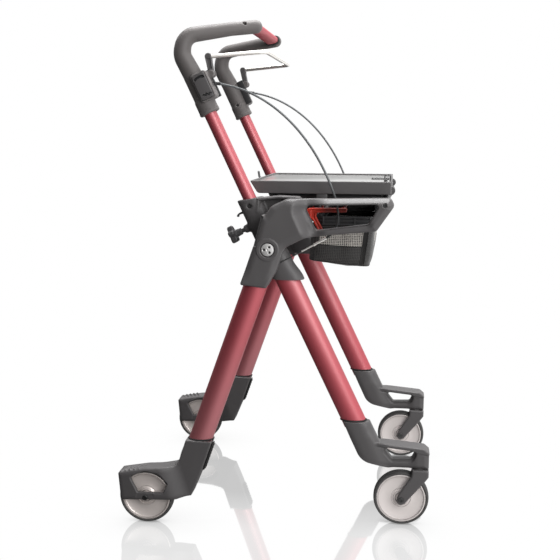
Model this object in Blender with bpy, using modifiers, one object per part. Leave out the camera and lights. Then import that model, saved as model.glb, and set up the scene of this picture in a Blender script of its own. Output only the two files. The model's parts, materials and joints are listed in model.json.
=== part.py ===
"""Folding indoor rollator: two side frames, forward-looping handles, a one-hand brake bow, a tray and a bag.

+X is forward, +Y is the walker's left and +Z is up. The origin is on the floor, midway between the axles.
Each side frame is a front leg that carries the handle, and a rear leg with an arm that turns on it at the pivot.
"""

import math

import bmesh
import bpy
from mathutils import Matrix, Vector

# Driving dimensions, in metres and degrees.
WHEEL_RADIUS = 0.052
WHEEL_WIDTH = 0.023
DISC_RADIUS = 0.046
AXLE_X = 0.239  # the front axle; the rear axle is at -AXLE_X
FRONT_PLANE = 0.192  # front leg, handle tube and caster, out from the middle
REAR_PLANE = 0.234  # rear leg and arm
REAR_WHEEL_PLANE = 0.2455
PIVOT_X, PIVOT_Z = -0.0095, 0.525
FRONT_RAKE = 25.3  # front leg and handle tube, from the vertical
REAR_RAKE = 19.3
LEG_WIDTH, LEG_DEPTH, LEG_WALL = 0.042, 0.030, 0.0018
TUBE_RADIUS, TUBE_WALL = 0.012, 0.0015
TRAY_HALF_WIDTH = 0.168
TRAY_TOP, TRAY_BOTTOM = 0.644, 0.6205
GAP = 0.0003  # clearance between a piece and the one it sits against

# Distances up a leg from the pivot, negative below it.
HEAD_TOP, HEAD_BOTTOM = 0.097, -0.070
FRONT_LEG_TOP, FRONT_LEG_BOTTOM = -0.030, -0.368
REAR_LEG_TOP, REAR_LEG_BOTTOM = -0.032, -0.420
HANDLE_TUBE_TOP, HANDLE_TUBE_BOTTOM = 0.300, -0.110
SOCKET_BOTTOM = 0.2625

HEAD_WIDTH, HEAD_DEPTH = 0.046, 0.040
ARM_DEPTH = 0.0384
BOLT_RADIUS = 0.0058
SLOT_INNER, SLOT_OUTER = 0.0575, 0.0785  # the arc in the head that the rear cross bar travels in as it folds
BAR_RADIUS = 0.008
FRONT_BAR = (0.1977, 0.6066)
REAR_BAR = (0.045, 0.566)
LEVER_PIVOT = (0.329, 0.033)  # brake lever: up the handle tube, and forward of it
BOW_END = (-0.1232, 0.1920, 0.8675)  # the left end and corner of the brake bow
BOW_CORNER = (-0.0230, 0.1760, 0.8765)
CABLE_PLANE = 0.2122  # between the head and the arm
CASTER_X = 0.273

SIDES = {"right": -1, "left": 1}
ARC_STEPS = 4
OVAL_POINTS = 20


# ---- Scene, materials and placing ----


def clear_scene():
    for obj in list(bpy.data.objects):
        bpy.data.objects.remove(obj, do_unlink=True)


def new_collection(name):
    collection = bpy.data.collections.new(name)
    bpy.context.scene.collection.children.link(collection)
    return collection


def material(name, colour, roughness, metallic=0.0):
    made = bpy.data.materials.new(name)
    made.use_nodes = True
    shader = made.node_tree.nodes["Principled BSDF"]
    shader.inputs["Base Color"].default_value = (*colour, 1.0)
    shader.inputs["Roughness"].default_value = roughness
    shader.inputs["Metallic"].default_value = metallic
    return made


def along_leg(rake):
    """The unit vectors up a leg leaning back by rake, and forward across it."""
    angle = math.radians(rake)
    return Vector((-math.sin(angle), 0, math.cos(angle))), Vector((math.cos(angle), 0, math.sin(angle)))


def leg_point(rake, up, forward, y):
    """A point so far up a leg from the pivot and forward of its axis, at this y."""
    rise, across = along_leg(rake)
    return Vector((PIVOT_X, y, PIVOT_Z)) + up * rise + forward * across


def front_point(up, forward, y):
    return leg_point(FRONT_RAKE, up, forward, y)


def rear_point(up, forward, y):
    return leg_point(-REAR_RAKE, up, forward, y)


def leg_turn(rake):
    """The rotation that takes +Z up the leg and +X forward across it."""
    return (0, -math.radians(rake), 0)


# ---- Shapes ----


def rounded(corners):
    """An outline through (x, z, radius) corners, with an arc at each corner that has a radius."""
    points = []
    for i, (x, z, radius) in enumerate(corners):
        here = Vector((x, z))
        if not radius:
            points.append(tuple(here))
            continue
        before = (Vector(corners[i - 1][:2]) - here).normalized()
        after = (Vector(corners[(i + 1) % len(corners)][:2]) - here).normalized()
        half = before.angle(after) / 2
        centre = here + (before + after).normalized() * (radius / math.sin(half))
        first = here + before * (radius / math.tan(half)) - centre
        last = here + after * (radius / math.tan(half)) - centre
        for k in range(ARC_STEPS + 1):
            direction = first.lerp(last, k / ARC_STEPS).normalized()
            points.append(tuple(centre + direction * radius))
    return points


def oval(width, depth, count=OVAL_POINTS):
    turn = 2 * math.pi / count
    return [(width / 2 * math.cos(turn * k), depth / 2 * math.sin(turn * k)) for k in range(count)]


def arc(centre, radius, start, end, count):
    """Points on an arc about centre, angles in degrees."""
    angles = [math.radians(start + (end - start) * k / (count - 1)) for k in range(count)]
    return [(centre[0] + radius * math.cos(a), centre[1] + radius * math.sin(a)) for a in angles]


def mesh_object(name, mesh, collection):
    obj = bpy.data.objects.new(name, mesh)
    collection.objects.link(obj)
    return obj


def from_curve(curve_object, collection):
    """The curve's shape as a mesh object of the same name and place, with its caps welded on."""
    bpy.context.view_layer.update()
    graph = bpy.context.evaluated_depsgraph_get()
    mesh = bpy.data.meshes.new_from_object(curve_object.evaluated_get(graph))
    shape = bmesh.new()
    shape.from_mesh(mesh)
    bmesh.ops.remove_doubles(shape, verts=shape.verts, dist=1e-6)
    shape.to_mesh(mesh)
    shape.free()
    name, place = curve_object.name, curve_object.matrix_world.copy()
    bpy.data.objects.remove(curve_object, do_unlink=True)
    made = mesh_object(name, mesh, collection)
    made.matrix_world = place
    return made


def extruded(name, rings, length, location, rotation, collection):
    """A flat outline, the first ring, with the other rings as holes, made length thick."""
    curve = bpy.data.curves.new(name, "CURVE")
    curve.dimensions = "2D"
    curve.fill_mode = "BOTH"
    curve.extrude = length / 2
    for ring in rings:
        spline = curve.splines.new("POLY")
        spline.points.add(len(ring) - 1)
        for point, (x, y) in zip(spline.points, ring):
            point.co = (x, y, 0, 1)
        spline.use_cyclic_u = True
    made = bpy.data.objects.new(name, curve)
    collection.objects.link(made)
    made.location = location
    made.rotation_euler = rotation
    return from_curve(made, collection)


def side_plate(name, rings, depth, y, collection):
    """An outline in X and Z, depth thick about y."""
    return extruded(name, rings, depth, (0, y, 0), (math.radians(90), 0, 0), collection)


def leg_section(name, rings, rake, bottom, top, y, collection):
    """A section across a leg, from bottom to top along it."""
    middle = leg_point(rake, (bottom + top) / 2, 0, y)
    return extruded(name, rings, top - bottom, middle, leg_turn(rake), collection)


def cylinder(name, radius, start, end, collection, segments=20, end_radius=None):
    start, end = Vector(start), Vector(end)
    mesh = bpy.data.meshes.new(name)
    shape = bmesh.new()
    bmesh.ops.create_cone(
        shape,
        cap_ends=True,
        segments=segments,
        radius1=radius,
        radius2=radius if end_radius is None else end_radius,
        depth=(end - start).length,
    )
    shape.to_mesh(mesh)
    shape.free()
    made = mesh_object(name, mesh, collection)
    made.location = (start + end) / 2
    made.rotation_mode = "QUATERNION"
    made.rotation_quaternion = (end - start).to_track_quat("Z", "Y")
    return made


def box(name, low, high, collection, place=None):
    """A box between two corners, in the axes of place if it is given."""
    low, high = Vector(low), Vector(high)
    mesh = bpy.data.meshes.new(name)
    shape = bmesh.new()
    size = Matrix.Diagonal((*(high - low), 1))
    bmesh.ops.create_cube(shape, size=1, matrix=Matrix.Translation((low + high) / 2) @ size)
    shape.to_mesh(mesh)
    shape.free()
    made = mesh_object(name, mesh, collection)
    if place:
        made.matrix_world = place
    return made


def rod(name, points, radius, collection, radii=None, resolution=2):
    """A round bar through points, with an optional radius factor at each."""
    curve = bpy.data.curves.new(name, "CURVE")
    curve.dimensions = "3D"
    curve.bevel_depth = radius
    curve.bevel_resolution = resolution
    curve.use_fill_caps = True
    spline = curve.splines.new("POLY")
    spline.points.add(len(points) - 1)
    for i, (point, at) in enumerate(zip(spline.points, points)):
        point.co = (*at, 1)
        point.radius = radii[i] if radii else 1
    made = bpy.data.objects.new(name, curve)
    collection.objects.link(made)
    return from_curve(made, collection)


def bezier(a, b, c, d, count):
    """Points on the cubic curve from a to d, with b and c as its handles."""
    a, b, c, d = Vector(a), Vector(b), Vector(c), Vector(d)
    points = []
    for k in range(count):
        t = k / (count - 1)
        s = 1 - t
        points.append(a * s**3 + b * 3 * s * s * t + c * 3 * s * t * t + d * t**3)
    return points


def bent(corners, steps=ARC_STEPS):
    """A path through corners given as (point, bend radius)."""
    points = []
    for i, (at, radius) in enumerate(corners):
        here = Vector(at)
        if not radius:
            points.append(here)
            continue
        before = (Vector(corners[i - 1][0]) - here).normalized()
        after = (Vector(corners[i + 1][0]) - here).normalized()
        half = before.angle(after) / 2
        centre = here + (before + after).normalized() * (radius / math.sin(half))
        first = here + before * (radius / math.tan(half)) - centre
        last = here + after * (radius / math.tan(half)) - centre
        for k in range(steps + 1):
            points.append(centre + first.lerp(last, k / steps).normalized() * radius)
    return points


def turned(name, profile, centre, collection, steps=24):
    """A closed (radius, along) profile turned about the Y axis through centre."""
    mesh = bpy.data.meshes.new(name)
    shape = bmesh.new()
    verts = [shape.verts.new((radius, 0, along)) for radius, along in profile]
    for i, vert in enumerate(verts):
        shape.edges.new((vert, verts[(i + 1) % len(verts)]))
    shape.to_mesh(mesh)
    shape.free()
    made = mesh_object(name, mesh, collection)
    made.location = centre
    made.rotation_euler = (math.radians(90), 0, 0)
    screw = made.modifiers.new("turn", "SCREW")
    screw.steps = screw.render_steps = steps
    screw.use_merge_vertices = True
    screw.merge_threshold = 0.00001
    return made


def combine(obj, other, operation):
    """A Boolean on obj with a helper, which isn't shown."""
    modifier = obj.modifiers.new(operation.lower(), "BOOLEAN")
    modifier.operation = operation
    modifier.object = other
    other.hide_render = True
    other.display_type = "WIRE"


def cut(obj, *cutters):
    for cutter in cutters:
        combine(obj, cutter, "DIFFERENCE")


def join(obj, *others):
    for other in others:
        combine(obj, other, "UNION")


def finish(obj, finish_material, smooth=True):
    obj.data.materials.clear()
    obj.data.materials.append(finish_material)
    if smooth and obj.type == "MESH":
        obj.data.shade_smooth()
        obj.data.set_sharp_from_angle(angle=math.radians(35))
    return obj


# ---- Front frame ----


def front_leg(side, y):
    rings = [
        oval(LEG_WIDTH, LEG_DEPTH),
        oval(LEG_WIDTH - 2 * LEG_WALL, LEG_DEPTH - 2 * LEG_WALL),
    ]
    leg = leg_section(f"{side}_front_leg", rings, FRONT_RAKE, FRONT_LEG_BOTTOM, FRONT_LEG_TOP, y, parts)
    return finish(leg, red_metal)


def head(side, y, out):
    """The casting that clamps the handle tube, holds the front leg and carries the pivot and the fold sector."""
    rings = [oval(HEAD_WIDTH, HEAD_DEPTH, 24)]
    made = leg_section(f"{side}_head", rings, FRONT_RAKE, HEAD_BOTTOM, HEAD_TOP, y, parts)
    pivot = (PIVOT_X, PIVOT_Z)
    sector_depth, sector_out = 0.021, 0.0055
    inner, outer = arc(pivot, SLOT_INNER, 30, 87, 8), arc(pivot, SLOT_OUTER, 87, 46, 8)
    top_edge = [(0.0480, 0.6100), (0.0420, 0.6165), (0.0050, 0.6185), (-0.0340, 0.6145)]
    sector_ring = [pivot, *inner, *outer, *top_edge]
    sector = side_plate(f"{side}_sector", [sector_ring], sector_depth, y + out * sector_out, cutters)
    boss_radius, boss_end = 0.018, 0.2142
    boss = cylinder(
        f"{side}_head_boss",
        boss_radius,
        (PIVOT_X, y + out * 0.014, PIVOT_Z),
        (PIVOT_X, out * boss_end, PIVOT_Z),
        cutters,
    )
    clamp_radius, clamp_up = 0.0075, 0.048
    clamp = cylinder(
        f"{side}_clamp_boss",
        clamp_radius,
        front_point(clamp_up, -0.018, y),
        front_point(clamp_up, -0.034, y),
        cutters,
        16,
    )
    join(made, sector, boss, clamp)
    tube_hole = cylinder(
        f"{side}_tube_hole",
        TUBE_RADIUS + GAP,
        front_point(HEAD_TOP + 0.01, 0, y),
        front_point(HEAD_BOTTOM - 0.01, 0, y),
        cutters,
        24,
    )
    socket_ring = [oval(LEG_WIDTH + 2 * GAP, LEG_DEPTH + 2 * GAP)]
    socket = leg_section(
        f"{side}_leg_socket", socket_ring, FRONT_RAKE, HEAD_BOTTOM - 0.01, FRONT_LEG_TOP + GAP, y, cutters
    )
    bolt_hole = cylinder(
        f"{side}_bolt_hole",
        BOLT_RADIUS + GAP,
        (PIVOT_X, y + out * 0.006, PIVOT_Z),
        (PIVOT_X, out * (boss_end + 0.01), PIVOT_Z),
        cutters,
        16,
    )
    screw_hole = cylinder(
        f"{side}_clamp_hole",
        0.0045,
        front_point(clamp_up, 0, y),
        front_point(clamp_up, -0.045, y),
        cutters,
        12,
    )
    cut(made, tube_hole, socket, bolt_hole, screw_hole)
    return finish(made, grey_plastic)


def front_bracket(side, y):
    """The foot that plugs into the front leg, with a tread on top and the caster's bearing in its nose."""
    outline = rounded(
        [
            (0.1285, 0.1985, 0),
            (0.1755, 0.1985, 0.002),
            (0.1960, 0.1630, 0.010),
            (0.2810, 0.1550, 0.006),
            (0.2895, 0.1440, 0.006),
            (0.2895, 0.1138, 0.002),
            (0.2100, 0.1138, 0.030),
            (0.1700, 0.1240, 0.025),
            (0.1530, 0.1490, 0.020),
        ]
    )
    window = rounded(
        [
            (0.2046, 0.1525, 0.003),
            (0.2630, 0.1465, 0.003),
            (0.2567, 0.1300, 0.003),
            (0.2200, 0.1285, 0.003),
        ]
    )
    made = side_plate(f"{side}_front_bracket", [outline, window], 0.034, y, parts)
    spigot_ring = [oval(LEG_WIDTH - 2 * LEG_WALL - 2 * GAP, LEG_DEPTH - 2 * LEG_WALL - 2 * GAP)]
    spigot = leg_section(
        f"{side}_spigot", spigot_ring, FRONT_RAKE, FRONT_LEG_BOTTOM - 0.020, FRONT_LEG_BOTTOM + 0.030, y, cutters
    )
    leg_room = leg_section(
        f"{side}_leg_room", [oval(0.060, 0.060)], FRONT_RAKE, FRONT_LEG_BOTTOM - GAP, FRONT_LEG_BOTTOM + 0.04, y,
        cutters,
    )
    stem_hole = cylinder(
        f"{side}_stem_hole", 0.0055, (CASTER_X, y, 0.105), (CASTER_X, y, 0.1365), cutters, 16
    )
    cut(made, leg_room)
    join(made, spigot)
    cut(made, stem_hole)
    return finish(made, grey_plastic)


def front_cross_tube():
    """Ties the two heads together along the pivot axis."""
    radius, wall, half = 0.011, 0.002, FRONT_PLANE - HEAD_DEPTH / 2 - GAP
    rings = [oval(2 * radius, 2 * radius), oval(2 * (radius - wall), 2 * (radius - wall))]
    place = (PIVOT_X, 0, PIVOT_Z)
    made = extruded("front_cross_tube", rings, 2 * half, place, (math.radians(90), 0, 0), parts)
    return finish(made, black_metal)


def pivot_bolt(side, out):
    """A shouldered bolt through the arm into the head."""
    head_radius, inner, face, outer = 0.0115, 0.2050, 0.2509, 0.2547
    made = cylinder(
        f"{side}_pivot_bolt", BOLT_RADIUS, (PIVOT_X, out * inner, PIVOT_Z), (PIVOT_X, out * 0.252, PIVOT_Z), parts, 16
    )
    cap = cylinder(
        f"{side}_bolt_cap", head_radius, (PIVOT_X, out * face, PIVOT_Z), (PIVOT_X, out * outer, PIVOT_Z), cutters, 28
    )
    join(made, cap)
    return finish(made, steel)


def clamp_knob(side, y):
    """A lobed knob on a screw that presses on the handle tube."""
    up = 0.048
    lobes, mean, swing, count = 6, 0.0158, 0.0022, 48
    ring = []
    for k in range(count):
        angle = 2 * math.pi * k / count
        radius = mean + swing * math.cos(lobes * angle)
        ring.append((radius * math.cos(angle), radius * math.sin(angle)))
    made = extruded(
        f"{side}_clamp_knob",
        [ring],
        0.010,
        front_point(up, -0.057, y),
        (0, math.radians(-90 - FRONT_RAKE), 0),
        parts,
    )
    neck = cylinder(
        f"{side}_knob_neck", 0.0075, front_point(up, -0.0345, y), front_point(up, -0.055, y), cutters, 16, 0.009
    )
    screw = cylinder(
        f"{side}_knob_screw",
        0.004,
        front_point(up, -TUBE_RADIUS - 2 * GAP, y),
        front_point(up, -0.055, y),
        cutters,
        12,
    )
    join(made, neck, screw)
    return finish(made, black_plastic)


def bag_hook(side, y):
    up, back = 0.078, -HEAD_WIDTH / 2 - GAP
    path = bezier(
        front_point(up, back, y),
        front_point(up, back - 0.009, y),
        front_point(up + 0.004, back - 0.011, y),
        front_point(up + 0.013, back - 0.010, y),
        6,
    )
    return finish(rod(f"{side}_bag_hook", path, 0.0022, parts), black_plastic)


# ---- Handles ----


def handle_tube(side, y):
    outer, inner = 2 * TUBE_RADIUS, 2 * (TUBE_RADIUS - TUBE_WALL)
    rings = [oval(outer, outer, 24), oval(inner, inner, 16)]
    made = leg_section(
        f"{side}_handle_tube", rings, FRONT_RAKE, HANDLE_TUBE_BOTTOM, HANDLE_TUBE_TOP, y, parts
    )
    return finish(made, red_metal)


def cross_bar_section(grow):
    """The oval of the bar between the grips, grown for the pockets it sits in."""
    return oval(0.026 + grow, 0.015 + grow, 16)


def cross_bar(name, half, grow, collection):
    tilt = 12  # the bar's flat faces follow the grips' slope
    place = (-0.053, 0, 0.9215)
    turn = (math.radians(90), math.radians(-tilt), 0)
    return extruded(name, [cross_bar_section(grow)], 2 * half, place, turn, collection)


def grip(side, y, out):
    """The moulded loop from the tube socket up, round the back and forward to the cross bar."""
    corners = [
        (front_point(SOCKET_BOTTOM, 0, y), 0),
        (front_point(0.345, 0, y), 0.060),
        (Vector((-0.176, y, 0.868)), 0.030),
        (Vector((-0.172, y, 0.901)), 0.022),
        (Vector((-0.090, out * 0.160, 0.9155)), 0.050),
        (Vector((-0.0455, out * 0.140, 0.9215)), 0),
    ]
    path = bent(corners)
    thick, thin = 0.0172, 0.0122
    radii = []
    for point in path:
        rise = min(1, max(0, (point.z - 0.87) / 0.05))
        radii.append((thick + (thin - thick) * rise) / thick)
    made = rod(f"{side}_grip", path, thick, parts, radii, 4)
    tip = bpy.data.meshes.new(f"{side}_tip")
    shape = bmesh.new()
    bmesh.ops.create_uvsphere(shape, u_segments=16, v_segments=10, radius=thin)
    shape.to_mesh(tip)
    shape.free()
    ball = mesh_object(f"{side}_tip", tip, cutters)
    ball.location = path[-1]
    join(made, ball)
    hole = cylinder(
        f"{side}_grip_hole",
        TUBE_RADIUS + GAP,
        front_point(SOCKET_BOTTOM - 0.01, 0, y),
        front_point(HANDLE_TUBE_TOP + GAP, 0, y),
        cutters,
        24,
    )
    pocket = cross_bar(f"{side}_bar_pocket", 0.1375, 2 * GAP, cutters)
    cut(made, hole, pocket)
    return finish(made, grey_plastic)


def brake_housing(side, y, out):
    """The box on the outside of the grip socket that holds the brake lever's pin and the cable's end."""
    place = Matrix.Translation(front_point(0, 0, 0)) @ Matrix.Rotation(-math.radians(FRONT_RAKE), 4, "Y")
    near, far = sorted((out * 0.180, out * 0.218))
    made = box(f"{side}_brake_housing", (-0.002, near, 0.287), (0.0305, far, 0.343), parts, place)
    up, forward = LEVER_PIVOT
    ear = cylinder(
        f"{side}_ear", 0.007, front_point(up, forward, out * 0.181), front_point(up, forward, out * 0.2045), cutters, 16
    )
    join(made, ear)
    slot_near, slot_far = sorted((out * 0.185, out * 0.199))
    slot = box(f"{side}_lever_slot", (0.020, slot_near, 0.315), (0.045, slot_far, 0.350), cutters, place)
    socket = cylinder(
        f"{side}_socket_room", 0.0178, front_point(0.27, 0, y), front_point(0.36, 0, y), cutters, 24
    )
    pin_hole = cylinder(
        f"{side}_pin_hole",
        0.0028,
        front_point(up, forward, out * 0.175),
        front_point(up, forward, out * 0.2035),
        cutters,
        12,
    )
    cut(made, slot, socket, pin_hole)
    return finish(made, grey_plastic)


def brake_cover(side, out):
    place = Matrix.Translation(front_point(0, 0, 0)) @ Matrix.Rotation(-math.radians(FRONT_RAKE), 4, "Y")
    near, far = sorted((out * (0.218 + GAP), out * 0.2225))
    made = box(f"{side}_brake_cover", (0.0015, near, 0.2885), (0.0245, far, 0.3385), parts, place)
    bevel = made.modifiers.new("edges", "BEVEL")
    bevel.width, bevel.segments = 0.0015, 1
    return finish(made, grey_plastic)


def brake_lever(side, y, out):
    pivot = front_point(*LEVER_PIVOT, y)
    top = Vector((-0.1265, y, 0.8705))
    along = (top - pivot).normalized()
    across = Vector((along.z, 0, -along.x))
    half, pin_reach = 0.005, 0.0105
    low, high = pivot - along * half, top + along * half
    corners = [low - across * half, low + across * half, high + across * half, high - across * half]
    outline = rounded([(c.x, c.z, 0.0049) for c in corners])
    made = side_plate(f"{side}_brake_lever", [outline], 0.012, y, parts)
    pin = cylinder(
        f"{side}_lever_pin",
        0.0025,
        pivot + Vector((0, out * pin_reach, 0)),
        pivot - Vector((0, out * pin_reach, 0)),
        cutters,
        12,
    )
    join(made, pin)
    end, corner = (Vector((x, out * across_y, z)) for x, across_y, z in (BOW_END, BOW_CORNER))
    socket = cylinder(f"{side}_bow_socket", 0.0037, end.lerp(corner, -0.004), end.lerp(corner, 0.3), cutters, 12)
    cut(made, socket)
    return finish(made, grey_plastic)


def brake_bow():
    """The U-shaped rod that works both brakes from either hand."""
    end, corner = Vector(BOW_END), Vector(BOW_CORNER)
    far = [Vector((p.x, -p.y, p.z)) for p in (corner, end)]
    path = bent([(end, 0), (corner, 0.016), (far[0], 0.016), (far[1], 0)], 5)
    return finish(rod("brake_bow", path, 0.0034, parts, resolution=3), steel)


def brake_cable(side, out):
    """The sheath from the brake housing, over the tray and down inside the arm to the adjuster."""
    start = front_point(0.310, 0.0315, out * 0.200)
    drop = Vector((0.1088, out * CABLE_PLANE, 0.6133))
    level = front_point(0.310, 0.1100, out * 0.200) + Vector((0, 0, -0.020))
    upper = bezier(start, level, drop + Vector((-0.028, 0, 0.096)), drop, 12)
    foot = Vector((0.0850, out * CABLE_PLANE, 0.5391))
    lower = bezier(drop, drop + Vector((0.008, 0, -0.035)), foot + Vector((0.032, 0, 0.018)), foot, 8)
    return finish(rod(f"{side}_brake_cable", upper + lower[1:], 0.0021, parts), black_plastic)


# ---- Rear frame ----


def arm(side, y, out):
    """The moulding that holds the rear leg, turns on the pivot bolt and reaches forward round a window."""
    outline = rounded(
        [
            (-0.0605, 0.4600, 0.003),
            (-0.0362, 0.5300, 0.015),
            (-0.0215, 0.5860, 0.002),
            (-0.0136, 0.5875, 0),
            (0.0010, 0.6165, 0.016),
            (0.2075, 0.6225, 0.008),
            (0.2145, 0.6055, 0.006),
            (0.1835, 0.5605, 0.006),
            (0.0600, 0.5480, 0.030),
            (0.0180, 0.5270, 0.020),
            (0.0040, 0.4840, 0.020),
            (-0.0130, 0.4540, 0.003),
        ]
    )
    window = rounded(
        [
            (0.0530, 0.6035, 0.006),
            (0.1900, 0.6085, 0.004),
            (0.1690, 0.5715, 0.006),
            (0.0745, 0.5590, 0.006),
        ]
    )
    made = side_plate(f"{side}_arm", [outline, window], ARM_DEPTH, y, parts)
    socket_ring = [oval(LEG_WIDTH + 2 * GAP, LEG_DEPTH + 2 * GAP)]
    socket = leg_section(
        f"{side}_arm_socket", socket_ring, -REAR_RAKE, REAR_LEG_TOP - 0.070, REAR_LEG_TOP + GAP, y, cutters
    )
    bore = cylinder(
        f"{side}_arm_bore",
        BOLT_RADIUS + GAP,
        (PIVOT_X, out * 0.205, PIVOT_Z),
        (PIVOT_X, out * 0.265, PIVOT_Z),
        cutters,
        16,
    )
    recess = cylinder(
        f"{side}_arm_recess",
        0.0205,
        (PIVOT_X, out * 0.2506, PIVOT_Z),
        (PIVOT_X, out * 0.265, PIVOT_Z),
        cutters,
        28,
    )
    screw_recess = cylinder(
        f"{side}_arm_screw_hole",
        0.003,
        (FRONT_BAR[0], out * 0.2480, FRONT_BAR[1]),
        (FRONT_BAR[0], out * 0.265, FRONT_BAR[1]),
        cutters,
        12,
    )
    cut(made, socket, bore, recess, screw_recess)
    return finish(made, grey_plastic)


def rear_leg(side, y):
    rings = [
        oval(LEG_WIDTH, LEG_DEPTH),
        oval(LEG_WIDTH - 2 * LEG_WALL, LEG_DEPTH - 2 * LEG_WALL),
    ]
    made = leg_section(f"{side}_rear_leg", rings, -REAR_RAKE, REAR_LEG_BOTTOM, REAR_LEG_TOP, y, parts)
    return finish(made, red_metal)


def rear_bracket(side, y, out):
    """The wheel housing, with windows either side, a ribbed step on top and the rear leg's socket in front."""
    wheel_y = out * REAR_WHEEL_PLANE
    housing_ring = rounded(
        [
            (-0.2905, 0.1000, 0.004),
            (-0.2390, 0.1105, 0.060),
            (-0.1720, 0.1160, 0),
            (-0.1640, 0.0560, 0),
            (-0.1810, 0.0500, 0),
            (-0.2860, 0.0460, 0.003),
            (-0.2910, 0.0500, 0.002),
        ]
    )
    made = side_plate(f"{side}_rear_bracket", [housing_ring], 0.040, wheel_y, parts)
    socket_ring = rounded(
        [
            (-0.1900, 0.1150, 0),
            (-0.1800, 0.1190, 0.004),
            (-0.1625, 0.1640, 0.002),
            (-0.1130, 0.1620, 0.002),
            (-0.1340, 0.1010, 0.010),
            (-0.1540, 0.0560, 0.002),
            (-0.1640, 0.0560, 0.002),
            (-0.1810, 0.0500, 0),
        ]
    )
    leg_part = side_plate(f"{side}_leg_part", [socket_ring], 0.038, y, cutters)
    join(made, leg_part)
    wheel_room = cylinder(
        f"{side}_wheel_room",
        WHEEL_RADIUS + 0.0016,
        (-AXLE_X, wheel_y - 0.0135, WHEEL_RADIUS),
        (-AXLE_X, wheel_y + 0.0135, WHEEL_RADIUS),
        cutters,
        32,
    )
    window_ring = rounded(
        [
            (-0.2665, 0.0935, 0.004),
            (-0.2400, 0.1050, 0.018),
            (-0.2150, 0.1000, 0.020),
            (-0.1965, 0.0815, 0.004),
            (-0.2050, 0.0630, 0.003),
            (-0.2520, 0.0630, 0.003),
        ]
    )
    window = side_plate(f"{side}_wheel_window", [window_ring], 0.060, wheel_y, cutters)
    axle_hole = cylinder(
        f"{side}_rear_axle_hole",
        0.0043,
        (-AXLE_X, wheel_y - 0.03, WHEEL_RADIUS),
        (-AXLE_X, wheel_y + 0.03, WHEEL_RADIUS),
        cutters,
        16,
    )
    socket = leg_section(
        f"{side}_rear_socket",
        [oval(LEG_WIDTH + 2 * GAP, LEG_DEPTH + 2 * GAP)],
        -REAR_RAKE,
        REAR_LEG_BOTTOM - GAP,
        REAR_LEG_BOTTOM + 0.06,
        y,
        cutters,
    )
    shoe_room = box(
        f"{side}_shoe_room", (0.048, -0.0095, -0.0095), (0.0735, 0.0095, 0.0095), cutters, shoe_place(wheel_y)
    )
    cut(made, wheel_room, window, axle_hole, socket, shoe_room)
    return finish(made, grey_plastic)


def shoe_place(wheel_y):
    """Axes at the rear axle with +X pointing at the brake shoe, up and forward."""
    return Matrix.Translation((-AXLE_X, wheel_y, WHEEL_RADIUS)) @ Matrix.Rotation(math.radians(-45), 4, "Y")


def brake_shoe(side, out):
    """The block that the cable pulls on to the rear tyre."""
    place = shoe_place(out * REAR_WHEEL_PLANE)
    face = WHEEL_RADIUS + 0.0016
    made = box(f"{side}_brake_shoe", (face, -0.0085, -0.0085), (face + 0.014, 0.0085, 0.0085), parts, place)
    return finish(made, rubber)


def guard_strip(side, y):
    """The soft strip on the front of the rear bracket."""
    place = Matrix.Translation(rear_point(0, 0, 0)) @ Matrix.Rotation(math.radians(REAR_RAKE), 4, "Y")
    made = box(f"{side}_guard_strip", (0.0229, y - 0.010, -0.437), (0.0269, y + 0.010, -0.383), parts, place)
    return finish(made, rubber)


def rear_axle(side, out):
    y, half = out * REAR_WHEEL_PLANE, 0.0185
    made = cylinder(
        f"{side}_rear_axle", 0.004, (-AXLE_X, y - half, WHEEL_RADIUS), (-AXLE_X, y + half, WHEEL_RADIUS), parts, 16
    )
    return finish(made, steel)


def cable_adjuster(side, out):
    """The barrel and inner wire between the end of the sheath and the rear leg."""
    y = out * CABLE_PLANE
    top, joint, low = Vector((0.0845, y, 0.5388)), Vector((0.0470, y, 0.5180)), Vector((0.0130, y, 0.4992))
    made = cylinder(f"{side}_cable_adjuster", 0.0022, joint, top, parts, 12)
    wire = cylinder(f"{side}_inner_wire", 0.0012, low, joint + (top - joint) * 0.3, cutters, 10)
    join(made, wire)
    return finish(made, steel)


def cross_bars():
    """The two tubes that tie the arms together, in front of and behind the bag."""
    half = REAR_PLANE - ARM_DEPTH / 2 - GAP
    for name, (x, z) in (("front_cross_bar", FRONT_BAR), ("rear_cross_bar", REAR_BAR)):
        ring = oval(2 * BAR_RADIUS, 2 * BAR_RADIUS, 16)
        made = extruded(name, [ring], 2 * half, (x, 0, z), (math.radians(90), 0, 0), parts)
        finish(made, black_metal)


def tray_frame():
    """The bent tube that the tray rests on, standing on the cross bars."""
    radius, z, half, back = 0.0058, 0.6140, 0.130, -0.020
    front = FRONT_BAR[0] - BAR_RADIUS - GAP
    path = bent(
        [
            (Vector((front, -half, z)), 0),
            (Vector((back, -half, z)), 0.022),
            (Vector((back, half, z)), 0.022),
            (Vector((front, half, z)), 0),
        ]
    )
    made = rod("tray_frame", path, radius, parts)
    for side, out in SIDES.items():
        top, bottom = (REAR_BAR[0], out * half, z), (REAR_BAR[0], out * half, REAR_BAR[1] + BAR_RADIUS + GAP)
        join(made, cylinder(f"{side}_post", 0.004, bottom, top, cutters, 12))
    return finish(made, black_metal)


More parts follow.
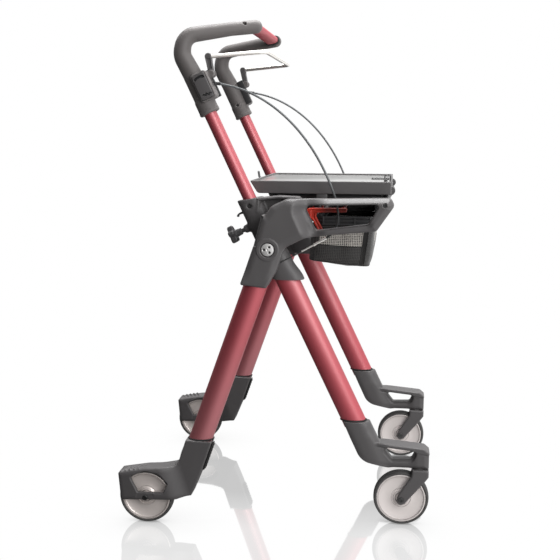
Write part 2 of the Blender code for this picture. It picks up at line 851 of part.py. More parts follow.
def basket_frame():
    """The ribbed ring that holds the bag's top edge, with tabs to the front cross bar."""
    back, front, half, wall = 0.0695, 0.1835, 0.164, 0.007
    low, high = 0.562, 0.580
    outer = [(back, -half), (front, -half), (front, half), (back, half)]
    inner = [(back + wall, -half + wall), (front - wall, -half + wall), (front - wall, half - wall),
             (back + wall, half - wall)]
    made = extruded("basket_frame", [outer, inner], high - low, (0, 0, (low + high) / 2), (0, 0, 0), parts)
    for side, out in SIDES.items():
        near, far = sorted((out * 0.105, out * 0.121))
        reach = FRONT_BAR[0] - BAR_RADIUS - GAP
        tab = box(f"{side}_tab", (front - wall, near, high - 0.010), (reach, far, FRONT_BAR[1]), cutters)
        join(made, tab)
    return finish(made, black_plastic)


def basket():
    """The cloth bag, open at the top, hanging from the ring."""
    top, bottom_back, bottom_front = 0.5612, 0.4960, 0.4885
    mesh = bpy.data.meshes.new("basket")
    shape = bmesh.new()
    bmesh.ops.create_cube(shape, size=2)
    for vert in shape.verts:
        front, up = vert.co.x > 0, vert.co.z > 0
        vert.co.y *= 0.160 if up else 0.152
        if up:
            vert.co.x, vert.co.z = (0.178 if front else 0.062), top
        else:
            vert.co.x, vert.co.z = (0.168 if front else 0.058), (bottom_front if front else bottom_back)
    lid = [face for face in shape.faces if all(vert.co.z == top or vert.co.z > 0.56 for vert in face.verts)]
    bmesh.ops.delete(shape, geom=lid, context="FACES")
    shape.to_mesh(mesh)
    shape.free()
    made = mesh_object("basket", mesh, parts)
    skin = made.modifiers.new("skin", "SOLIDIFY")
    skin.thickness, skin.offset = 0.003, -1
    skin.use_even_offset = True
    return finish(made, fabric, smooth=False)


def fold_lever():
    """The red lever: two side arms on the rear cross bar and a rod across under the tray."""
    depth, plane, rod_at = 0.008, 0.180, (0.118, 0.586)
    eye = REAR_BAR[0], REAR_BAR[1]
    outline = rounded(
        [
            (0.0330, 0.5790, 0.010),
            (0.0600, 0.5915, 0.010),
            (0.1270, 0.5920, 0.003),
            (0.1200, 0.5800, 0.002),
            (0.0800, 0.5800, 0.006),
            (0.0690, 0.5740, 0.004),
            (0.0780, 0.5530, 0.003),
            (0.0690, 0.5510, 0.003),
            (0.0590, 0.5545, 0.006),
            (0.0340, 0.5530, 0.010),
        ]
    )
    hole = oval(2 * (BAR_RADIUS + GAP), 2 * (BAR_RADIUS + GAP), 16)
    hole = [(eye[0] + x, eye[1] + z) for x, z in hole]
    made = side_plate("fold_lever", [outline, hole], depth, -plane, parts)
    other = side_plate("left_lever_arm", [outline, hole], depth, plane, cutters)
    across = cylinder(
        "lever_rod", 0.0045, (rod_at[0], -plane, rod_at[1]), (rod_at[0], plane, rod_at[1]), cutters, 12
    )
    join(made, across, other)
    return finish(made, red_plastic)


def tray():
    """The lift-off tray: a shallow pan with a rim, and tabs and catches at its ends."""
    outline = rounded(
        [
            (-0.0495, TRAY_TOP, 0.002),
            (0.2080, TRAY_TOP, 0.002),
            (0.2080, TRAY_BOTTOM, 0.002),
            (-0.0345, TRAY_BOTTOM, 0.010),
        ]
    )
    made = side_plate("tray", [outline], 2 * TRAY_HALF_WIDTH, 0, parts)
    rim, depth = 0.0065, 0.004
    hollow = box(
        "tray_hollow",
        (-0.0495 + rim, -TRAY_HALF_WIDTH + rim, TRAY_TOP - depth),
        (0.2080 - rim, TRAY_HALF_WIDTH - rim, TRAY_TOP + 0.01),
        cutters,
    )
    cut(made, hollow)
    for side, out in SIDES.items():
        back_near, back_far = sorted((out * 0.084, out * 0.096))
        front_near, front_far = sorted((out * 0.142, out * 0.154))
        back = box(f"{side}_back_tab", (-0.0490, back_near, TRAY_TOP - 0.006), (-0.0445, back_far, 0.6560), cutters)
        front = box(f"{side}_front_tab", (0.2030, front_near, TRAY_TOP - 0.006), (0.2070, front_far, 0.6560), cutters)
        catch = cylinder(
            f"{side}_catch", 0.008, (0.2065, front_near, 0.6300), (0.2065, front_far, 0.6300), cutters, 16
        )
        join(made, back, front, catch)
    return finish(made, grey_plastic)


# ---- Wheels ----


def wheel(side, end, x, y):
    """A plastic disc with a hub, and a tyre moulded round its rim."""
    half, bore = WHEEL_WIDTH / 2, 0.0043 if end == "rear" else 0.0038
    rim_half, web_half, hub_radius = 0.0095, 0.0045, 0.0125
    disc_profile = [
        (DISC_RADIUS, rim_half),
        (DISC_RADIUS - 0.004, rim_half),
        (DISC_RADIUS - 0.008, web_half),
        (hub_radius + 0.003, web_half),
        (hub_radius, half),
        (bore, half),
    ]
    disc_ring = disc_profile + [(radius, -along) for radius, along in reversed(disc_profile)]
    disc = turned(f"{side}_{end}_wheel_disc", disc_ring[::-1], (x, y, WHEEL_RADIUS), parts)
    seat = DISC_RADIUS + GAP
    tyre_profile = [
        (seat, half - 0.001),
        (WHEEL_RADIUS - 0.0035, half),
        (WHEEL_RADIUS - 0.0008, half * 0.65),
        (WHEEL_RADIUS, half * 0.25),
    ]
    tyre_ring = tyre_profile + [(radius, -along) for radius, along in reversed(tyre_profile)]
    tyre = turned(f"{side}_{end}_tyre", tyre_ring, (x, y, WHEEL_RADIUS), parts)
    finish(disc, pale_plastic)
    finish(tyre, rubber)


def caster_fork(side, y):
    """Two blades from the stem down and back to the axle."""
    outline = rounded(
        [
            (0.2595, 0.1118, 0),
            (0.2890, 0.1118, 0.002),
            (0.2890, 0.0985, 0.003),
            (0.2810, 0.0870, 0.006),
            (0.2490, 0.0400, 0.008),
            (0.2290, 0.0480, 0.0085),
            (0.2330, 0.0600, 0.003),
            (0.2570, 0.0990, 0.003),
        ]
    )
    made = side_plate(f"{side}_caster_fork", [outline], 0.040, y, parts)
    wheel_room = cylinder(
        f"{side}_fork_room",
        WHEEL_RADIUS + 0.003,
        (AXLE_X, y - 0.0135, WHEEL_RADIUS),
        (AXLE_X, y + 0.0135, WHEEL_RADIUS),
        cutters,
        32,
    )
    axle_hole = cylinder(
        f"{side}_fork_hole", 0.0038, (AXLE_X, y - 0.03, WHEEL_RADIUS), (AXLE_X, y + 0.03, WHEEL_RADIUS), cutters, 16
    )
    cut(made, wheel_room, axle_hole)
    stem = cylinder(f"{side}_stem", 0.0052, (CASTER_X, y, 0.1105), (CASTER_X, y, 0.1360), cutters, 16)
    join(made, stem)
    return finish(made, grey_plastic)


def front_axle(side, y):
    half = 0.0215
    made = cylinder(
        f"{side}_front_axle", 0.0035, (AXLE_X, y - half, WHEEL_RADIUS), (AXLE_X, y + half, WHEEL_RADIUS), parts, 16
    )
    return finish(made, steel)


# ---- Assembly ----


clear_scene()
parts = new_collection("rollator")
cutters = new_collection("cutters")
red_metal = material("red anodised aluminium", (0.36, 0.035, 0.055), 0.35, 0.9)
grey_plastic = material("dark grey moulded plastic", (0.085, 0.083, 0.086), 0.5)
black_plastic = material("black moulded plastic", (0.025, 0.025, 0.027), 0.5)
black_metal = material("black painted steel", (0.020, 0.020, 0.021), 0.4, 0.5)
red_plastic = material("red moulded plastic", (0.55, 0.03, 0.01), 0.4)
pale_plastic = material("pale grey wheel plastic", (0.70, 0.66, 0.63), 0.45)
rubber = material("dark grey rubber", (0.045, 0.045, 0.045), 0.75)
steel = material("bright steel", (0.75, 0.74, 0.72), 0.25, 1.0)
fabric = material("black bag cloth", (0.030, 0.030, 0.030), 0.9)

for side_name, outward in SIDES.items():
    front_y, rear_y = outward * FRONT_PLANE, outward * REAR_PLANE
    front_leg(side_name, front_y)
    head(side_name, front_y, outward)
    front_bracket(side_name, front_y)
    pivot_bolt(side_name, outward)
    clamp_knob(side_name, front_y)
    bag_hook(side_name, front_y)
    handle_tube(side_name, front_y)
    grip(side_name, front_y, outward)
    brake_housing(side_name, front_y, outward)
    brake_cover(side_name, outward)
    brake_lever(side_name, front_y, outward)
    brake_cable(side_name, outward)
    arm(side_name, rear_y, outward)
    rear_leg(side_name, rear_y)
    rear_bracket(side_name, rear_y, outward)
    brake_shoe(side_name, outward)
    guard_strip(side_name, rear_y)
    rear_axle(side_name, outward)
    cable_adjuster(side_name, outward)
    caster_fork(side_name, front_y)
    front_axle(side_name, front_y)
    wheel(side_name, "front", AXLE_X, front_y)
    wheel(side_name, "rear", -AXLE_X, outward * REAR_WHEEL_PLANE)

front_cross_tube()
finish(cross_bar("handle_cross_bar", 0.1370, 0, parts), red_metal)
brake_bow()
cross_bars()
tray_frame()
basket_frame()
basket()
fold_lever()
tray()
bpy.context.view_layer.update()
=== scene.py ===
"""The looks of a folding indoor rollator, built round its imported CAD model.

Moulded parts are signed-distance shapes turned into meshes, the bag is simulated cloth, and every material is
procedural. Shapes that come in pairs are worked out once, with t the distance out from the middle plane, and
then made for both sides.
"""

import json
import math

import bmesh
import bpy
import numpy as np
from mathutils import Matrix, Vector


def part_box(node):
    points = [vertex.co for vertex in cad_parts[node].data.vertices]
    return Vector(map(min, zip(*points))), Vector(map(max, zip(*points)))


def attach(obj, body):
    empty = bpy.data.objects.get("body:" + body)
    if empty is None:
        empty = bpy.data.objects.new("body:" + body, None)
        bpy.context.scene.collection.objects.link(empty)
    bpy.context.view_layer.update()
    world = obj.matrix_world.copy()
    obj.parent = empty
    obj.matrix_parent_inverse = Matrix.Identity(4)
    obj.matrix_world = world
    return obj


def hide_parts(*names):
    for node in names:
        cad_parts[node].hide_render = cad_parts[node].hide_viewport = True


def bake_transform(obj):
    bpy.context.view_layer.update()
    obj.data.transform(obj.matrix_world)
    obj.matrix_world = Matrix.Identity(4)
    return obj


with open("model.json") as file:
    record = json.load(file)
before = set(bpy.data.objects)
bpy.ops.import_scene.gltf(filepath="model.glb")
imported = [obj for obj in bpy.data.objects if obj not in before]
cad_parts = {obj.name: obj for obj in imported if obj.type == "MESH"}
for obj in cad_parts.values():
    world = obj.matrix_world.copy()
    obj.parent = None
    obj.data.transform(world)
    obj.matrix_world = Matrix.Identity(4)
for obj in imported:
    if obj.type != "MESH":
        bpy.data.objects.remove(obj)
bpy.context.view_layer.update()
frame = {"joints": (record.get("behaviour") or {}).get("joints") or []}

SIDES = {"right": -1, "left": 1}
JOINTS = {joint["name"]: joint for joint in frame["joints"]}
PIVOT_X, _, PIVOT_Z = JOINTS["fold"]["pos_m"]
RISE_X, _, RISE_Z = JOINTS["handle_height"]["axis"]  # up the front leg and the handle tube
REAR_RAKE = math.radians(19.3)
FRONT_PLANE = 0.192
REAR_PLANE = 0.234
REAR_WHEEL_PLANE = 0.2455


def centre_of(node):
    low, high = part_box(node)
    return (low + high) / 2


FRONT_AXLE = centre_of("left_front_tyre")
REAR_AXLE = centre_of("left_rear_tyre")
WHEEL_RADIUS = FRONT_AXLE.z


# ---- Distances ----


def clamp(value):
    return np.clip(value, 0.0, 1.0)


def ease(value):
    value = clamp(value)
    return value * value * (3 - 2 * value)


def both(a, b, radius=0.0):
    """The intersection of two shapes, its edge rounded."""
    if not radius:
        return np.maximum(a, b)
    u, v = np.maximum(a + radius, 0), np.maximum(b + radius, 0)
    return np.minimum(np.maximum(a, b), -radius) + np.sqrt(u * u + v * v)


def cut(a, b, radius=0.0):
    return both(a, -b, radius)


def blended(a, b, width):
    """The union of two shapes with a fillet."""
    share = clamp(0.5 + 0.5 * (b - a) / width)
    return b * (1 - share) + a * share - width * share * (1 - share)


def outline(x, z, ring):
    """Distance to a closed polygon, negative inside."""
    points = np.asarray(ring, float)
    nearest = (x - points[0, 0]) ** 2 + (z - points[0, 1]) ** 2
    inside = np.zeros(np.broadcast(x, z).shape, bool)
    for i in range(len(points)):
        (ax, az), (bx, bz) = points[i], points[i - 1]
        ex, ez = bx - ax, bz - az
        wx, wz = x - ax, z - az
        share = clamp((wx * ex + wz * ez) / (ex * ex + ez * ez))
        nearest = np.minimum(nearest, (wx - ex * share) ** 2 + (wz - ez * share) ** 2)
        crosses = ((z >= az) != (z >= bz)) & ((ex * wz > ez * wx) == (bz > az))
        inside ^= crosses
    return np.where(inside, -1.0, 1.0) * np.sqrt(nearest)


def oval(u, v, a, b, power=2.0):
    """Distance to an ellipse, or to a squarer oval with a higher power."""
    reach = (np.abs(u / a) ** power + np.abs(v / b) ** power) ** (1 / power)
    return (reach - 1) * np.minimum(a, b)


def line(x, t, z, start, end, radius, end_radius=None):
    """Distance to a round bar with round ends that may taper."""
    end_radius = radius if end_radius is None else end_radius
    (ax, at, az), (bx, bt, bz) = start, end
    ex, et, ez = bx - ax, bt - at, bz - az
    share = clamp(((x - ax) * ex + (t - at) * et + (z - az) * ez) / (ex * ex + et * et + ez * ez))
    gap = (x - ax - ex * share) ** 2 + (t - at - et * share) ** 2 + (z - az - ez * share) ** 2
    return np.sqrt(gap) - radius - (end_radius - radius) * share


def disc(x, t, z, centre, radius, half, edge=0.0, axis=(0, 1, 0)):
    """Distance to a cylinder with flat ends, centred at centre and running across unless axis is given."""
    (cx, ct, cz), (ax, at, az) = centre, axis
    along = (x - cx) * ax + (t - ct) * at + (z - cz) * az
    away = (x - cx) ** 2 + (t - ct) ** 2 + (z - cz) ** 2 - along**2
    return both(np.sqrt(np.maximum(away, 0)) - radius, np.abs(along) - half, edge)


def slab(flat, t, middle, half, edge):
    return both(flat, np.abs(t - middle) - half, edge)


def away_from(x, z, centre_x, centre_z):
    """Distance to an axis that runs across the walker."""
    return np.sqrt((x - centre_x) ** 2 + (z - centre_z) ** 2)


def up_front(x, z):
    """(up, forward) of a point from the pivot, along and across the front leg."""
    dx, dz = x - PIVOT_X, z - PIVOT_Z
    return dx * RISE_X + dz * RISE_Z, dx * RISE_Z - dz * RISE_X


def up_rear(x, z):
    dx, dz = x - PIVOT_X, z - PIVOT_Z
    s, c = math.sin(REAR_RAKE), math.cos(REAR_RAKE)
    return dx * s + dz * c, dx * c - dz * s


def front_point(up, forward, t):
    return (PIVOT_X + up * RISE_X + forward * RISE_Z, t, PIVOT_Z + up * RISE_Z - forward * RISE_X)


def rear_point(up, forward, t):
    s, c = math.sin(REAR_RAKE), math.cos(REAR_RAKE)
    return (PIVOT_X + up * s + forward * c, t, PIVOT_Z + up * c - forward * s)


def rounded(corners, steps=6):
    """The points of an outline or a path through (*place, radius) corners."""
    points = []
    for i, (*place, radius) in enumerate(corners):
        here = Vector(place)
        if not radius:
            points.append(here)
            continue
        before = (Vector(corners[i - 1][:-1]) - here).normalized()
        after = (Vector(corners[(i + 1) % len(corners)][:-1]) - here).normalized()
        half = before.angle(after) / 2
        centre = here + (before + after).normalized() * (radius / math.sin(half))
        first = here + before * (radius / math.tan(half)) - centre
        last = here + after * (radius / math.tan(half)) - centre
        for k in range(steps + 1):
            points.append(centre + first.lerp(last, k / steps).normalized() * radius)
    return points


def bezier(a, b, c, d, count):
    a, b, c, d = Vector(a), Vector(b), Vector(c), Vector(d)
    points = []
    for k in range(count):
        q = k / (count - 1)
        r = 1 - q
        points.append(a * r**3 + b * 3 * r * r * q + c * 3 * r * q * q + d * q**3)
    return points


# ---- Distance shapes to meshes ----

CORNERS = [(i, j, k) for i in (0, 1) for j in (0, 1) for k in (0, 1)]


def edge_list():
    found = []
    for corner in CORNERS:
        for axis in range(3):
            if corner[axis] == 0:
                other = list(corner)
                other[axis] = 1
                found.append((corner, tuple(other)))
    return found


def cell_points(values, cells):
    """For each mixed cell, the mean of the places where its edges cross the surface."""
    total = np.zeros((len(cells), 3))
    count = np.zeros(len(cells))
    i, j, k = cells.T
    for a, b in edge_list():
        va = values[i + a[0], j + a[1], k + a[2]]
        vb = values[i + b[0], j + b[1], k + b[2]]
        crossed = (va < 0) != (vb < 0)
        share = np.where(crossed, va / np.where(crossed, va - vb, 1), 0)
        at = np.array(a) + share[:, None] * (np.array(b) - np.array(a))
        total[crossed] += at[crossed]
        count += crossed
    return total / count[:, None]


def cell_quads(inside, index):
    """A quad round each grid edge that the surface crosses, facing out."""
    quads = []
    for axis in range(3):
        one, two = (axis + 1) % 3, (axis + 2) % 3
        a = np.moveaxis(inside, (axis, one, two), (0, 1, 2))
        cells = np.moveaxis(index, (axis, one, two), (0, 1, 2))
        crossed = a[:-1, 1:-1, 1:-1] != a[1:, 1:-1, 1:-1]
        i, j, k = np.nonzero(crossed)
        j, k = j + 1, k + 1
        around = [cells[i, j - 1, k - 1], cells[i, j, k - 1], cells[i, j, k], cells[i, j - 1, k]]
        quad = np.stack(around, 1)
        outward = a[i, j, k]
        quad[~outward] = quad[~outward][:, ::-1]
        quads.append(quad)
    return np.concatenate(quads)


def pulled_on(field, points, step, rounds):
    """The points moved along the distance's slope on to the surface."""
    tiny = step * 0.05
    for _ in range(rounds):
        x, t, z = points.T
        value = field(x, t, z)
        slope = np.stack(
            [
                field(x + tiny, t, z) - field(x - tiny, t, z),
                field(x, t + tiny, z) - field(x, t - tiny, z),
                field(x, t, z + tiny) - field(x, t, z - tiny),
            ],
            1,
        ) / (2 * tiny)
        size = np.maximum((slope**2).sum(1), 0.05)
        move = np.clip(value / size, -step * 0.6, step * 0.6)
        points = points - slope * move[:, None]
    return points


def relaxed(points, quads, share):
    total = np.zeros_like(points)
    count = np.zeros(len(points))
    for a in range(4):
        b = (a + 1) % 4
        np.add.at(total, quads[:, a], points[quads[:, b]])
        np.add.at(count, quads[:, a], 1)
        np.add.at(total, quads[:, b], points[quads[:, a]])
        np.add.at(count, quads[:, b], 1)
    return points + share * (total / np.maximum(count, 1)[:, None] - points)


def surface(field, low, high, step):
    """(points, quads) of field(x, t, z) = 0 in the box."""
    low, high = np.array(low, float), np.array(high, float)
    counts = np.ceil((high - low) / step).astype(int) + 1
    x, t, z = (low[a] + step * np.arange(counts[a]) for a in range(3))
    values = field(x[:, None, None], t[None, :, None], z[None, None, :])
    values = np.ascontiguousarray(np.broadcast_to(values, counts), float)
    inside = values < 0
    mixed = np.zeros(counts - 1, int)
    for i, j, k in CORNERS:
        mixed += inside[i : counts[0] - 1 + i, j : counts[1] - 1 + j, k : counts[2] - 1 + k]
    cells = np.argwhere((mixed > 0) & (mixed < 8))
    index = np.full(counts - 1, -1)
    index[tuple(cells.T)] = np.arange(len(cells))
    points = low + step * (cells + cell_points(values, cells))
    quads = cell_quads(inside, index)
    points = pulled_on(field, relaxed(points, quads, 0.5), step, 2)
    points = pulled_on(field, relaxed(points, quads, 0.3), step, 2)
    return points, quads


# ---- Meshes and pieces ----


def mesh_of(name, points, faces):
    mesh = bpy.data.meshes.new(name)
    mesh.from_pydata([tuple(p) for p in points], [], [tuple(int(i) for i in f) for f in faces])
    mesh.validate()
    mesh.update()
    return mesh


def piece(name, shape, finish, body, replaced=(), angle=None):
    """An object made from a (points, faces) shape, with its material, riding on a body."""
    made = bpy.data.objects.new(name, mesh_of(name, *shape))
    bpy.context.scene.collection.objects.link(made)
    made.data.materials.append(finish)
    made.data.shade_smooth()
    if angle:
        made.data.set_sharp_from_angle(angle=math.radians(angle))
    if body:
        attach(made, body)
    if replaced:
        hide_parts(*replaced)
    return made


def on_side(shape, out):
    """A (points, faces) shape in x, t, z placed on the side that out points to."""
    points, faces = shape
    return points * np.array([1, out, 1]), faces if out > 0 else [list(face)[::-1] for face in faces]


def paired(name, shape, finish, body, replaced=(), angle=None):
    """A shape in x, t, z made for both sides. Names start with the side; a body takes it for {side}."""
    for side, out in SIDES.items():
        nodes = [f"{side}_{node}" for node in replaced]
        piece(f"{side}_{name}", on_side(shape, out), finish, body.format(side=side), nodes, angle)


def joined(*shapes):
    """Several (points, faces) shapes as one."""
    points, faces, start = [], [], 0
    for some, these in shapes:
        points.append(np.asarray(some, float))
        faces.extend([[int(i) + start for i in face] for face in these])
        start += len(some)
    return np.concatenate(points), faces


def frames_along(path):
    """Tangent and two normals at each point of a path, turning as little as they can."""
    path = [Vector(p) for p in path]
    tangents = []
    for i in range(len(path)):
        ahead, behind = path[min(i + 1, len(path) - 1)], path[max(i - 1, 0)]
        tangents.append((ahead - behind).normalized())
    side = tangents[0].cross(Vector((0, 0, 1)))
    if side.length < 1e-3:
        side = tangents[0].cross(Vector((0, 1, 0)))
    sides = []
    for tangent in tangents:
        side = (side - tangent * side.dot(tangent)).normalized()
        sides.append((tangent, side.copy(), tangent.cross(side)))
    return sides


def loft(rings, closed=False):
    """A skin over rings of points, with flat caps unless it closes on its first ring."""
    count, points, faces = len(rings[0]), [tuple(p) for ring in rings for p in ring], []
    for i in range(len(rings) if closed else len(rings) - 1):
        for k in range(count):
            a, b, j = i * count, (i + 1) % len(rings) * count, (k + 1) % count
            faces.append([a + k, a + j, b + j, b + k])
    if not closed:
        faces.append(list(range(count))[::-1])
        faces.append([len(points) - count + k for k in range(count)])
    return facing_out((np.array(points), faces))


def circle(radius, count):
    turns = [2 * math.pi * k / count for k in range(count)]
    return [(radius * math.cos(turn), radius * math.sin(turn)) for turn in turns]


def tube(path, radius, segments=16, radii=None, section=None, closed=False):
    """A swept shape along a path, with flat caps: round, or with a section of (side, up) points."""
    section, rings = section or circle(radius, segments), []
    for i, (at, (_, side, other)) in enumerate(zip(path, frames_along(path))):
        grow = radii[i] if radii else 1
        rings.append([Vector(at) + side * (a * grow) + other * (b * grow) for a, b in section])
    return loft(rings, closed)


def bar(start, end, radius, segments=32, edge=0.0006):
    """A straight round bar with its ends rounded off."""
    start, end = Vector(start), Vector(end)
    along = (end - start).normalized()
    ends = [(0.0, 1 - edge / radius), (0.3, 1 - 0.3 * edge / radius), (1.0, 1.0)]
    path = [start + along * edge * share for share, _ in ends]
    path += [end - along * edge * share for share, _ in reversed(ends)]
    return tube(path, radius, segments, [factor for _, factor in ends + ends[::-1]])


def collared_bar(x, z, reach, radius, collar_length, collar_radius):
    """A bar across the walker with a thicker collar at each end."""
    collars = [bar((x, s * (reach - collar_length), z), (x, s * reach, z), collar_radius) for s in (-1, 1)]
    return joined(bar((x, -reach, z), (x, reach, z), radius), *collars)


def lathe(profile, centre, steps=96):
    """A closed (radius, along) profile turned about an axis across the walker, through centre."""
    points, faces, count = [], [], len(profile)
    for c, s in circle(1, steps):
        for radius, along in profile:
            points.append((centre[0] + radius * c, centre[1] + along, centre[2] + radius * s))
    for k in range(steps):
        for i in range(count):
            a, b, j = k * count, (k + 1) % steps * count, (i + 1) % count
            faces.append([a + i, b + i, b + j, a + j])
    return facing_out((np.array(points), faces))


def facing_out(shape):
    """The shape with its faces turned outwards."""
    points, faces = shape
    volume = 0.0
    for face in faces:
        a = points[face[0]]
        for i in range(1, len(face) - 1):
            volume += np.dot(a, np.cross(points[face[i]], points[face[i + 1]]))
    return (points, faces) if volume > 0 else (points, [list(face)[::-1] for face in faces])


def rounded_box(low, high, radius, segments=3, place=None):
    """A box with rounded edges, in the axes of place if it is given."""
    low, high = Vector(low), Vector(high)
    shape = bmesh.new()
    size = Matrix.Diagonal((*(high - low), 1))
    bmesh.ops.create_cube(shape, size=1, matrix=Matrix.Translation((low + high) / 2) @ size)
    settings = {"segments": segments, "profile": 0.5, "affect": "EDGES", "clamp_overlap": True}
    bmesh.ops.bevel(shape, geom=shape.edges[:], offset=radius, **settings)
    if place:
        shape.transform(place)
    shape.verts.index_update()
    points = np.array([tuple(v.co) for v in shape.verts])
    faces = [[v.index for v in face.verts] for face in shape.faces]
    shape.free()
    return points, faces


# ---- Materials ----


class Tree:
    """Short names for building the nodes of a material or of the world."""

    def __init__(self, name, owner=None):
        self.material = owner or bpy.data.materials.new(name)
        self.material.use_nodes = True
        self.nodes = self.material.node_tree.nodes
        self.links = self.material.node_tree.links
        self.shader = self.nodes.get("Principled BSDF")
        self.place = self.nodes.new("ShaderNodeTexCoord").outputs["Generated" if owner else "Object"]
        self.bump_from = None

    def put(self, target, value):
        if isinstance(value, bpy.types.NodeSocket):
            self.links.new(value, target)
        elif value is not None:
            target.default_value = value

    def node(self, kind, inputs=(), **settings):
        made = self.nodes.new(kind)
        for key, value in settings.items():
            setattr(made, key, value)
        for key, value in dict(inputs).items():
            self.put(made.inputs[key], value)
        return made

    def noise(self, scale, detail=3.0, rough=0.5, place=None, stretch=None):
        place = place or self.place
        if stretch:
            place = self.node("ShaderNodeMapping", {"Vector": place, "Scale": stretch}).outputs[0]
        inputs = {"Vector": place, "Scale": scale, "Detail": detail, "Roughness": rough}
        return self.node("ShaderNodeTexNoise", inputs).outputs["Fac"]

    def ramp(self, value, stops):
        made = self.node("ShaderNodeValToRGB", {"Fac": value})
        while len(made.color_ramp.elements) < len(stops):
            made.color_ramp.elements.new(0.5)
        for element, (at, colour) in zip(made.color_ramp.elements, stops):
            element.position = at
            element.color = (*colour, 1)
        return made.outputs["Color"]

    def grade(self, value, low, high, start=0.0, end=1.0):
        ends = {"From Min": start, "From Max": end, "To Min": low, "To Max": high}
        return self.node("ShaderNodeMapRange", {"Value": value, **ends}).outputs["Result"]

    def maths(self, operation, a, b=None, c=None):
        made = self.node("ShaderNodeMath", operation=operation)
        for socket, value in zip(made.inputs, (a, b, c)):
            self.put(socket, value)
        return made.outputs[0]

    def plus(self, a, b):
        return self.maths("ADD", a, b)

    def minus(self, a, b):
        return self.maths("SUBTRACT", a, b)

    def times(self, a, b):
        return self.maths("MULTIPLY", a, b)

    def axes(self):
        """The x, y and z of a place."""
        return self.node("ShaderNodeSeparateXYZ", {"Vector": self.place}).outputs

    def away(self, centre):
        """Distance to an axis across the walker, through centre's x and z."""
        x, _, z = self.axes()
        x, z = self.minus(x, centre[0]), self.minus(z, centre[1])
        return self.maths("SQRT", self.plus(self.times(x, x), self.times(z, z)))

    def space(self, x, y=0.0, z=0.0):
        """A place put together from its axes."""
        return self.node("ShaderNodeCombineXYZ", {"X": x, "Y": y, "Z": z}).outputs[0]

    def mixed(self, share, a, b):
        made = self.node("ShaderNodeMix", data_type="RGBA")
        self.put(made.inputs["Factor"], share)
        self.put(made.inputs["A"], a if isinstance(a, bpy.types.NodeSocket) else (*a, 1))
        self.put(made.inputs["B"], b if isinstance(b, bpy.types.NodeSocket) else (*b, 1))
        return made.outputs["Result"]

    def bump(self, height, distance, strength=1.0):
        made = self.node("ShaderNodeBump", {"Height": height, "Distance": distance, "Strength": strength})
        if self.bump_from:
            self.links.new(self.bump_from, made.inputs["Normal"])
        self.bump_from = made.outputs["Normal"]

    def done(self, colour, roughness, metallic=0.0, **more):
        self.put(self.shader.inputs["Base Color"], colour)
        self.put(self.shader.inputs["Roughness"], roughness)
        self.put(self.shader.inputs["Metallic"], metallic)
        for key, value in more.items():
            self.put(self.shader.inputs[key.replace("_", " ")], value)
        if self.bump_from:
            self.links.new(self.bump_from, self.shader.inputs["Normal"])
        return self.material

    def done_by_ray(self, lighting, seen, output):
        """Ends in one shader that lights the object and another that the camera sees."""
        camera_ray = self.nodes.new("ShaderNodeLightPath").outputs["Is Camera Ray"]
        mix = self.node("ShaderNodeMixShader", {"Fac": camera_ray})
        self.links.new(lighting.outputs[0], mix.inputs[1])
        self.links.new(seen.outputs[0], mix.inputs[2])
        self.links.new(mix.outputs[0], self.nodes[output].inputs["Surface"])


def scaled(colour, share, extra=0.0):
    return tuple(c * share + extra for c in colour)


def axis_stretch(tree, along, fine, coarse):
    """Texture space squeezed along a direction in the x-z plane, for streaks that run up a tube."""
    dx, dz = along
    x, y, z = tree.axes()
    up = tree.plus(tree.times(x, dx), tree.times(z, dz))
    over = tree.minus(tree.times(x, dz), tree.times(z, dx))
    return tree.space(tree.times(over, fine), tree.times(y, fine), tree.times(up, coarse))


def red_metal(name, along, coat=(1.0, 1.0), rough=0.50, painted_foot_highlight=0.0):
    """Wine-red anodised tube: fine drawn streaks under a satin clear coat; a painted highlight pales the
    foot.
    """
    tree = Tree(name)
    streaks = tree.noise(1.0, 4, 0.6, place=axis_stretch(tree, along, 900, 12))
    patches = tree.noise(14, 2)
    base = tree.mixed(tree.grade(patches, 0.3, 0.7), (0.440, 0.054, 0.074), (0.470, 0.066, 0.088))
    base = tree.mixed(tree.grade(streaks, 0.0, 0.08), base, (0.52, 0.16, 0.17))
    z = tree.axes()[2]
    # painted highlight: the colour pales toward the foot, where the lower leg is lit more brightly
    base = tree.mixed(tree.grade(z, painted_foot_highlight, 0.0, 0.16, 0.36), base, (0.66, 0.34, 0.36))
    clear = tree.grade(z, *coat, 0.20, 0.48)
    tree.bump(streaks, 0.00001, 0.12)
    satin = tree.grade(streaks, rough, rough + 0.04)
    return tree.done(base, satin, 0.78, Coat_Weight=clear, Coat_IOR=2.0, Coat_Roughness=0.40)


def moulded(name, dark, light, rough, grain=1800.0, depth=0.00006, sheen=0.0, painted_shade_x=None):
    """Moulded plastic: fine spark grain, flow marks, painted edge highlights; optional painted shade between
    two x.
    """
    tree = Tree(name)
    spark = tree.noise(grain, 2, 0.65)
    flow = tree.noise(22, 3, stretch=(1.0, 1.0, 0.35))
    edges = tree.node("ShaderNodeNewGeometry").outputs["Pointiness"]
    base = tree.mixed(tree.grade(flow, 0.2, 0.9, 0.3, 0.7), dark, light)
    highlight_and_fleck = scaled(light, 1.55, 0.015)
    # painted highlight: convex edges, found by pointiness, are paler as if catching the light
    base = tree.mixed(tree.grade(edges, 0.0, 0.55, 0.508, 0.570), base, highlight_and_fleck)
    base = tree.mixed(tree.grade(spark, 0.0, 0.22), base, highlight_and_fleck)
    # painted shade: darker from the first x on, where the lever's bar lies in shade under the tray
    if painted_shade_x:
        x = tree.axes()[0]
        base = tree.mixed(tree.grade(x, 0.0, 1.0, *painted_shade_x), base, scaled(light, 0.22))
    roughness = tree.plus(tree.grade(spark, rough - 0.05, rough + 0.06), tree.grade(flow, -0.03, 0.03))
    tree.bump(spark, depth, 0.6)
    return tree.done(base, roughness, 0.0, Specular_IOR_Level=0.42, Sheen_Weight=sheen)


